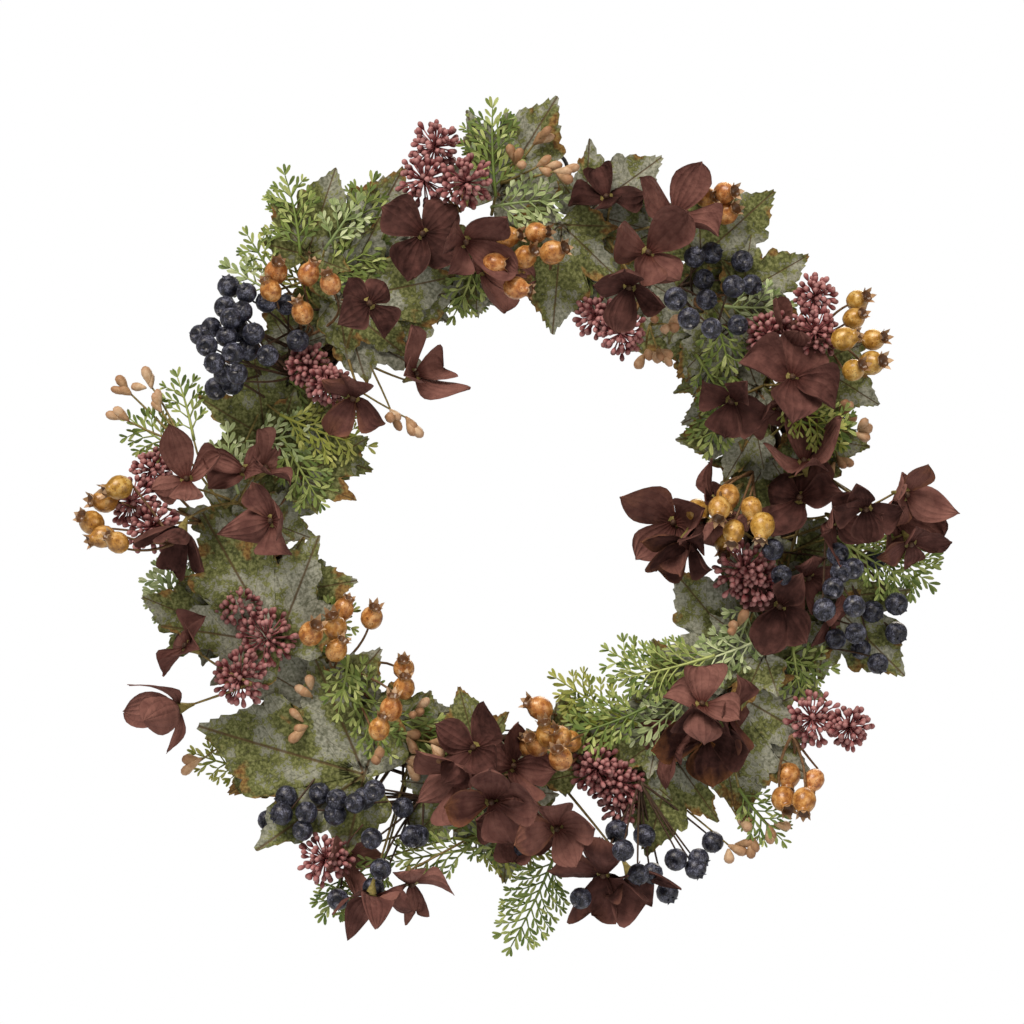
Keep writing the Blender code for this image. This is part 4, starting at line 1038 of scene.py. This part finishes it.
def lay_floret(pick, clock, distance, width_mm, lean, lean_heading, ochre, depth_mm=None):
    """A hydrangea floret on its thin stem."""
    width = width_mm * MM
    tilt = math.radians(lean)
    facing = FORWARD * math.cos(tilt) + heading(lean_heading) * math.sin(tilt)
    spot = laid_out(clock, distance)
    spot = with_depth(spot, dome_depth(spot) + width * 0.5 * math.sin(tilt))
    matrix = facing_matrix(spot, facing, heading(lean_heading + lean + 45.0))
    samples = [matrix @ Vector((x * width, y * width, 0.02 * width))
               for x, y in ((0, 0), (0.2, 0), (-0.2, 0), (0, 0.2), (0, -0.2))]
    matrix = Matrix.Translation(FORWARD * pick.lift(samples, depth_mm)) @ matrix
    floret(pick.pieces, matrix, width, ochre, lean, pick.rng)
    pick.stem(matrix @ Vector((0.0, 0.0, -0.008)), clock, depth_mm, 0.7, 0.0008)


def lay_hip(pick, yellow, crown_heading, clock, distance, depth_mm=None):
    """A rose hip on a curved stem, its crown turned the cluster's way."""
    rng = pick.rng
    spot = pick.middle(clock, distance, 7.4 * MM, depth_mm)
    way = heading(crown_heading + rng.uniform(-28, 28)) + FORWARD * rng.uniform(0.3, 1.2)
    rose_hip(pick.pieces, facing_matrix(spot, way, Vector((0.2, 0.5, 0.84))), 7.2 * MM, yellow, rng)
    end = spot - way.normalized() * 7.6 * MM
    pick.stem(end, clock, depth_mm, 0.42, 0.0008, 0.38 if pick.fixed else 0.22)


def lay_berry(pick, clock, distance, depth_mm=None):
    """A blueberry on a dark stem, turned away from the pick's foot."""
    rng = pick.rng
    spot = pick.middle(clock, distance, 6.5 * MM, depth_mm)
    away = (spot - pick.foot).normalized()
    way = away * rng.uniform(0.3, 1.0) + FORWARD * rng.uniform(0.2, 1.0)
    way += Vector([rng.uniform(-0.4, 0.4) for _ in range(3)])
    blueberry(pick.pieces, facing_matrix(spot, way, Vector((0.2, 0.5, 0.84))), 6.6 * MM, rng)
    end = spot - way.normalized() * 5.8 * MM
    pick.stem(end, clock, depth_mm, 0.08, 0.0007, 0.12 if pick.fixed else 0.02)


def lay_picks(picks, lay, finishes):
    """Lay the heads of each pick and stand them in for its CAD node."""
    for node, (place, *manner, rows) in picks.items():
        pick = Pick(node, place)
        for row in rows:
            lay(pick, *manner, *row)
        dressed(pick.pieces, node, finishes)


# ---------------------------------------------------------------- ring and hanger

def vine_twig(pieces, rng, index):
    """One twig that winds along the bundle."""
    start = rng.uniform(0.0, 360.0)
    span = rng.uniform(230.0, 350.0)
    turns = rng.uniform(2.0, 5.0) * (1 if index % 5 else -1)
    thick = rng.uniform(1.7, 3.6) * MM
    out = rng.uniform(0.25, 1.0) * (BUNDLE_REACH - thick)
    phase = rng.uniform(0.0, 2.0 * math.pi)
    count = int(span / 3.2)
    line = []
    for i in range(count):
        clock = start + span * i / (count - 1)
        wind = phase + math.radians(clock - start) * turns
        sway = noise.noise((index * 7.3, i * 0.09, 0.0))
        # The bracket's wires draw the bundle together at the top.
        tied = 0.88 if abs((clock + 180.0) % 360.0 - 180.0) < 9.0 else 1.0
        far = out * (0.86 + 0.28 * sway) * tied
        line.append(MIDDLE + heading(clock) * (RING_RADIUS + far * math.cos(wind)) +
                    FORWARD * far * math.sin(wind))
    radii = [thick * (1.0 + 0.22 * noise.noise((index * 3.1, i * 0.35, 4.0))) for i in range(count)]
    pieces.add(*tube(line, radii, 7), 0, tone=(rng.random(), 0.0, 0.0))


def wire_ring_piece(pieces, middle, first, second, radius, thickness, count=48, drop=0.0):
    """A closed ring of wire; `drop` widens the side that `first` points to and narrows the other."""
    line = []
    for i in range(count + 1):
        turn = 2.0 * math.pi * i / count
        wide = math.sin(turn) * (1.0 + drop * math.cos(turn)) * (1.0 + drop * 0.3)
        line.append(middle + (first * math.cos(turn) + second * wide) * radius)
    pieces.add(*tube(line, [thickness] * (count + 1), 10), 0)


def tendril(pieces, rng, index):
    """A thin broken twig that lies on the bundle and leaves it at its end."""
    start = index * 360.0 / TENDRILS + rng.uniform(-8.0, 8.0)
    span = rng.uniform(25.0, 60.0) * (1 if index % 2 else -1)
    phase = rng.uniform(0.0, 2.0 * math.pi)
    line = []
    for i in range(14):
        clock = start + span * i / 13
        far = BUNDLE_REACH * (0.86 + 0.10 * max(0.0, i / 13 - 0.6) / 0.4)
        wind = phase + i * 0.11
        line.append(MIDDLE + heading(clock) * (RING_RADIUS + far * math.cos(wind)) +
                    FORWARD * far * math.sin(wind) * 0.95)
    pieces.add(*tube(line, np.linspace(1.3 * MM, 0.5 * MM, 14), 6), 0, tone=(rng.random(), 0.0, 0.0))


def ring_piece():
    """The wound grapevine ring."""
    rng = random.Random("grapevine")
    pieces = Pieces()
    for index in range(bpy.context.scene.wreath_sizes.twigs):
        vine_twig(pieces, rng, index)
    for index in range(TENDRILS):
        tendril(pieces, rng, index)
    piece = pieces.build("grapevine_ring", [finish_of("bark")])
    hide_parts(*STRAND_NODES)
    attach(piece, BODY_OF[STRAND_NODES[0]])


def smooth_wires():
    """Round wires in place of the faceted ones."""
    up = Vector((0.0, 0.0, 1.0))
    right = Vector((1.0, 0.0, 0.0))
    low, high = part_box("hanging_loop")
    wire = WIRE_RADIUS
    joints = frame["record"]["behaviour"]["joints"]
    hinge = next(joint for joint in joints if joint["child"] == "hanging_loop")
    bar = Vector(hinge["pos_m"])
    eye_radius = (high.y - low.y) / 2.0 - wire
    loop_radius = (high.z - wire - bar.z - eye_radius) / 2.0
    pieces = Pieces()
    wire_ring_piece(pieces, bar + up * (eye_radius + loop_radius), up, right, loop_radius, wire, 72, 0.35)
    wire_ring_piece(pieces, bar, up, Vector((0.0, 1.0, 0.0)), eye_radius, wire, 24)
    dressed(pieces, "hanging_loop", ("wire",))
    low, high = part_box("hanger_bracket")
    turn_radius = (high.y - low.y) / 2.0 - wire
    middle = (low + high) / 2.0
    half = (high.x - low.x) / 2.0 - wire
    pieces = Pieces()
    for side in (-half, half):
        wire_ring_piece(pieces, Vector((middle.x + side, MIDDLE.y, high.z - wire - turn_radius)),
                        up, FORWARD, turn_radius, wire, 40)
    line = [bar + right * half * share for share in (-1.0, -0.3, 0.3, 1.0)]
    pieces.add(*tube(line, [wire] * 4, 10), 0)
    dressed(pieces, "hanger_bracket", ("wire",))
    low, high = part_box("binding_wire_1")
    middle = (low + high) / 2.0
    out = Vector((middle.x - MIDDLE.x, 0.0, middle.z - MIDDLE.z)).normalized()
    pieces = Pieces()
    wire_ring_piece(pieces, middle, out, FORWARD, ((high.y - low.y) / 2.0 - wire) * 0.9, wire * 0.9, 40)
    dressed(pieces, "binding_wire_1", ("wire",))


# ---------------------------------------------------------------- stage

def softbox(name, place, aim, size, power):
    """A large soft light."""
    light = bpy.data.lights.new(name, "AREA")
    light.shape = "DISK"
    light.size = size
    light.energy = power
    light.color = colour("fff4e6")[:3]
    lamp = bpy.data.objects.new(name, light)
    lamp.location = place
    lamp.rotation_euler = (aim - place).to_track_quat("-Z", "Y").to_euler()
    bpy.context.scene.collection.objects.link(lamp)


def stage(sizes):
    """Floor, backdrop light, soft lights and the camera."""
    mesh = bpy.data.meshes.new("floor")
    half, low = 17.0, MIDDLE.z - 3.0
    mesh.from_pydata([(-half, -half, low), (half, -half, low), (half, half, low), (-half, half, low)], [],
                     [(0, 1, 2, 3)])
    floor = bpy.data.objects.new("floor", mesh)
    bpy.context.scene.collection.objects.link(floor)
    material = bpy.data.materials.new("matt_white_floor")
    material.use_nodes = True
    shader = material.node_tree.nodes["Principled BSDF"]
    shader.inputs["Base Color"].default_value = bpy.context.scene.wreath_colours.floor
    shader.inputs["Roughness"].default_value = 0.9
    mesh.materials.append(material)
    world = bpy.data.worlds.new("studio")
    world.use_nodes = True
    tree = world.node_tree
    backdrop = tree.nodes["Background"]
    seen = add_node(tree, "LightPath")
    shade = add_node(tree, "Mix", seen, colour("fff1e0"), grey(1.0), data_type="RGBA")
    tree.links.new(shade, backdrop.inputs["Color"])
    strength = add_node(tree, "Math", seen, 1.0 - sizes.fill, sizes.fill, operation="MULTIPLY_ADD")
    tree.links.new(strength, backdrop.inputs["Strength"])
    bpy.context.scene.world = world
    bpy.context.scene.view_settings.view_transform = "Standard"
    sun = bpy.data.lights.new("key_light", "SUN")
    sun.energy = sizes.key
    sun.angle = math.radians(28.0)
    sun.color = colour("fff4e6")[:3]
    lamp = bpy.data.objects.new("key_light", sun)
    lamp.rotation_euler = Vector((0.9, 1.5, -2.0)).to_track_quat("-Z", "Y").to_euler()
    bpy.context.scene.collection.objects.link(lamp)
    softbox("fill_softbox", MIDDLE + Vector((1.6, -1.8, 0.4)), MIDDLE, 1.4, sizes.soft)
    softbox("back_softbox", MIDDLE + Vector((0.6, 1.8, 1.2)), MIDDLE, 1.4, sizes.soft * 1.6)
    camera = bpy.data.cameras.new("camera")
    camera.sensor_width = 36.0
    camera.lens = camera.sensor_width * sizes.camera_distance / sizes.view_width
    eye = bpy.data.objects.new("camera", camera)
    eye.location = MIDDLE + FORWARD * (sizes.camera_distance + sizes.view_depth) - Vector((0.0, 0.0, 0.0023))
    eye.rotation_euler = (math.radians(90.0), 0.0, 0.0)
    bpy.context.scene.collection.objects.link(eye)
    bpy.context.scene.camera = eye


# ---------------------------------------------------------------- add-on

class WreathSizes(bpy.types.PropertyGroup):
    """Sizes of the wreath's look and its stage."""

    twigs: IntProperty(name="Twigs", description="Twigs wound into the ring", default=34, min=4)
    fill: FloatProperty(name="Fill", description="Strength of the even light from all round", default=0.22)
    key: FloatProperty(name="Key", description="Strength of the main soft light", default=3.3)
    soft: FloatProperty(name="Soft", description="Power of the side soft light", default=16.0, unit="POWER")
    camera_distance: FloatProperty(name="Camera distance", description="From the picks to the camera",
                                   default=3.0, unit="LENGTH")
    view_width: FloatProperty(name="View width", description="Width of the view at the picks",
                              default=0.5954, unit="LENGTH")
    view_depth: FloatProperty(name="View depth", description="Depth at which the view width holds",
                              default=0.045, unit="LENGTH")


def paint(name, description, code):
    """A colour setting with its first value from an sRGB hex code."""
    return FloatVectorProperty(name=name, description=description, subtype="COLOR", size=4,
                               min=0.0, max=1.0, default=colour(code))


class WreathColours(bpy.types.PropertyGroup):
    """Main colours of the wreath's finishes."""

    bark: paint("Bark", "Grapevine bark between its fibres", "2b1f17")
    wire: paint("Wire", "Coated wire", "0e0e10")
    leaf: paint("Leaf", "Frosted ground of the maple leaves", "989b8e")
    moss: paint("Moss", "Olive blotches on the maple leaves", "5a602e")
    petal: paint("Petal", "Hydrangea petals", "62403c")
    fern: paint("Fern", "Mid green fronds", "7c8e45")
    pale_fern: paint("Pale fern", "Pale green fronds", "a2b47c")
    lime_fern: paint("Lime fern", "Yellow-green fronds", "989e48")
    stem: paint("Stem", "Brown stems", "5a3f2a")
    pip: paint("Pip", "Pips of the florets", "2a1715")
    orange_hip: paint("Orange hip", "Orange rose hips", "b97a42")
    yellow_hip: paint("Yellow hip", "Yellow rose hips", "b4893a")
    berry: paint("Berry", "Blueberries under their bloom", "2a2d3e")
    sedum: paint("Sedum", "Sedum buds", "88474b")
    bud: paint("Bud", "Tan buds", "ac8a68")
    floor: paint("Floor", "Studio floor", "e1e8ef")


class WREATH_OT_ring(bpy.types.Operator):
    """Wind the grapevine ring"""

    bl_idname = "wreath.ring"
    bl_label = "Grapevine ring"

    def execute(self, context):
        ring_piece()
        return {"FINISHED"}


class WREATH_OT_wires(bpy.types.Operator):
    """Bend the hanging loop, its bracket and the binding wire"""

    bl_idname = "wreath.wires"
    bl_label = "Wires"

    def execute(self, context):
        smooth_wires()
        return {"FINISHED"}


class WREATH_OT_leaves(bpy.types.Operator):
    """Lay the maple leaves"""

    bl_idname = "wreath.leaves"
    bl_label = "Maple leaves"

    def execute(self, context):
        lay_picks(LEAF_SPRAYS, lay_leaf, ("maple", "stem"))
        return {"FINISHED"}


class WREATH_OT_ferns(bpy.types.Operator):
    """Lay the fern fronds"""

    bl_idname = "wreath.ferns"
    bl_label = "Ferns"

    def execute(self, context):
        lay_picks(FERN_SPRAYS, lay_frond, ("fern", "stem"))
        return {"FINISHED"}


class WREATH_OT_sedum(bpy.types.Operator):
    """Lay the sedum umbels and the bud sprigs"""

    bl_idname = "wreath.sedum"
    bl_label = "Sedum and buds"

    def execute(self, context):
        lay_picks(SEDUM_PICKS, lay_umbel, ("sedum", "stem"))
        lay_picks(BUD_PICKS, lay_buds, ("bud", "stem"))
        return {"FINISHED"}


class WREATH_OT_hydrangeas(bpy.types.Operator):
    """Lay the hydrangea florets"""

    bl_idname = "wreath.hydrangeas"
    bl_label = "Hydrangeas"

    def execute(self, context):
        lay_picks(HYDRANGEA_PICKS, lay_floret, ("hydrangea", "stem", "pip"))
        return {"FINISHED"}


class WREATH_OT_berries(bpy.types.Operator):
    """Lay the rose hips and the blueberries"""

    bl_idname = "wreath.berries"
    bl_label = "Hips and blueberries"

    def execute(self, context):
        lay_picks(HIP_PICKS, lay_hip, ("hip", "stem", "bud"))
        lay_picks(BLUEBERRY_PICKS, lay_berry, ("berry", "stem"))
        return {"FINISHED"}


class WREATH_OT_stage(bpy.types.Operator):
    """Set up the floor, the lights and the camera"""

    bl_idname = "wreath.stage"
    bl_label = "Stage"

    def execute(self, context):
        stage(context.scene.wreath_sizes)
        return {"FINISHED"}


OPERATORS = (WREATH_OT_ring, WREATH_OT_wires, WREATH_OT_leaves, WREATH_OT_ferns, WREATH_OT_sedum,
             WREATH_OT_hydrangeas, WREATH_OT_berries, WREATH_OT_stage)


class WREATH_PT_sidebar(bpy.types.Panel):
    """Lists the wreath's operators"""

    bl_idname = "WREATH_PT_sidebar"
    bl_label = "Harvest Wreath"
    bl_space_type = "VIEW_3D"
    bl_region_type = "UI"
    bl_category = "Wreath"

    def draw(self, context):
        column = self.layout.column()
        for name in WreathSizes.__annotations__:
            column.prop(context.scene.wreath_sizes, name)
        for name in WreathColours.__annotations__:
            column.prop(context.scene.wreath_colours, name)
        for operator in OPERATORS:
            column.operator(operator.bl_idname)


CLASSES = (WreathSizes, WreathColours) + OPERATORS + (WREATH_PT_sidebar,)


def register():
    """Register the classes and the settings they share."""
    for item in CLASSES:
        bpy.utils.register_class(item)
    bpy.types.Scene.wreath_sizes = PointerProperty(type=WreathSizes)
    bpy.types.Scene.wreath_colours = PointerProperty(type=WreathColours)


def unregister():
    """Take the classes and the settings away again."""
    del bpy.types.Scene.wreath_sizes
    del bpy.types.Scene.wreath_colours
    for item in reversed(CLASSES):
        bpy.utils.unregister_class(item)


def main():
    """Build every piece in order."""
    register()
    for operator in OPERATORS:
        group, name = operator.bl_idname.split(".")
        getattr(getattr(bpy.ops, group), name)()
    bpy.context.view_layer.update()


if __name__ == "__main__":
    main()
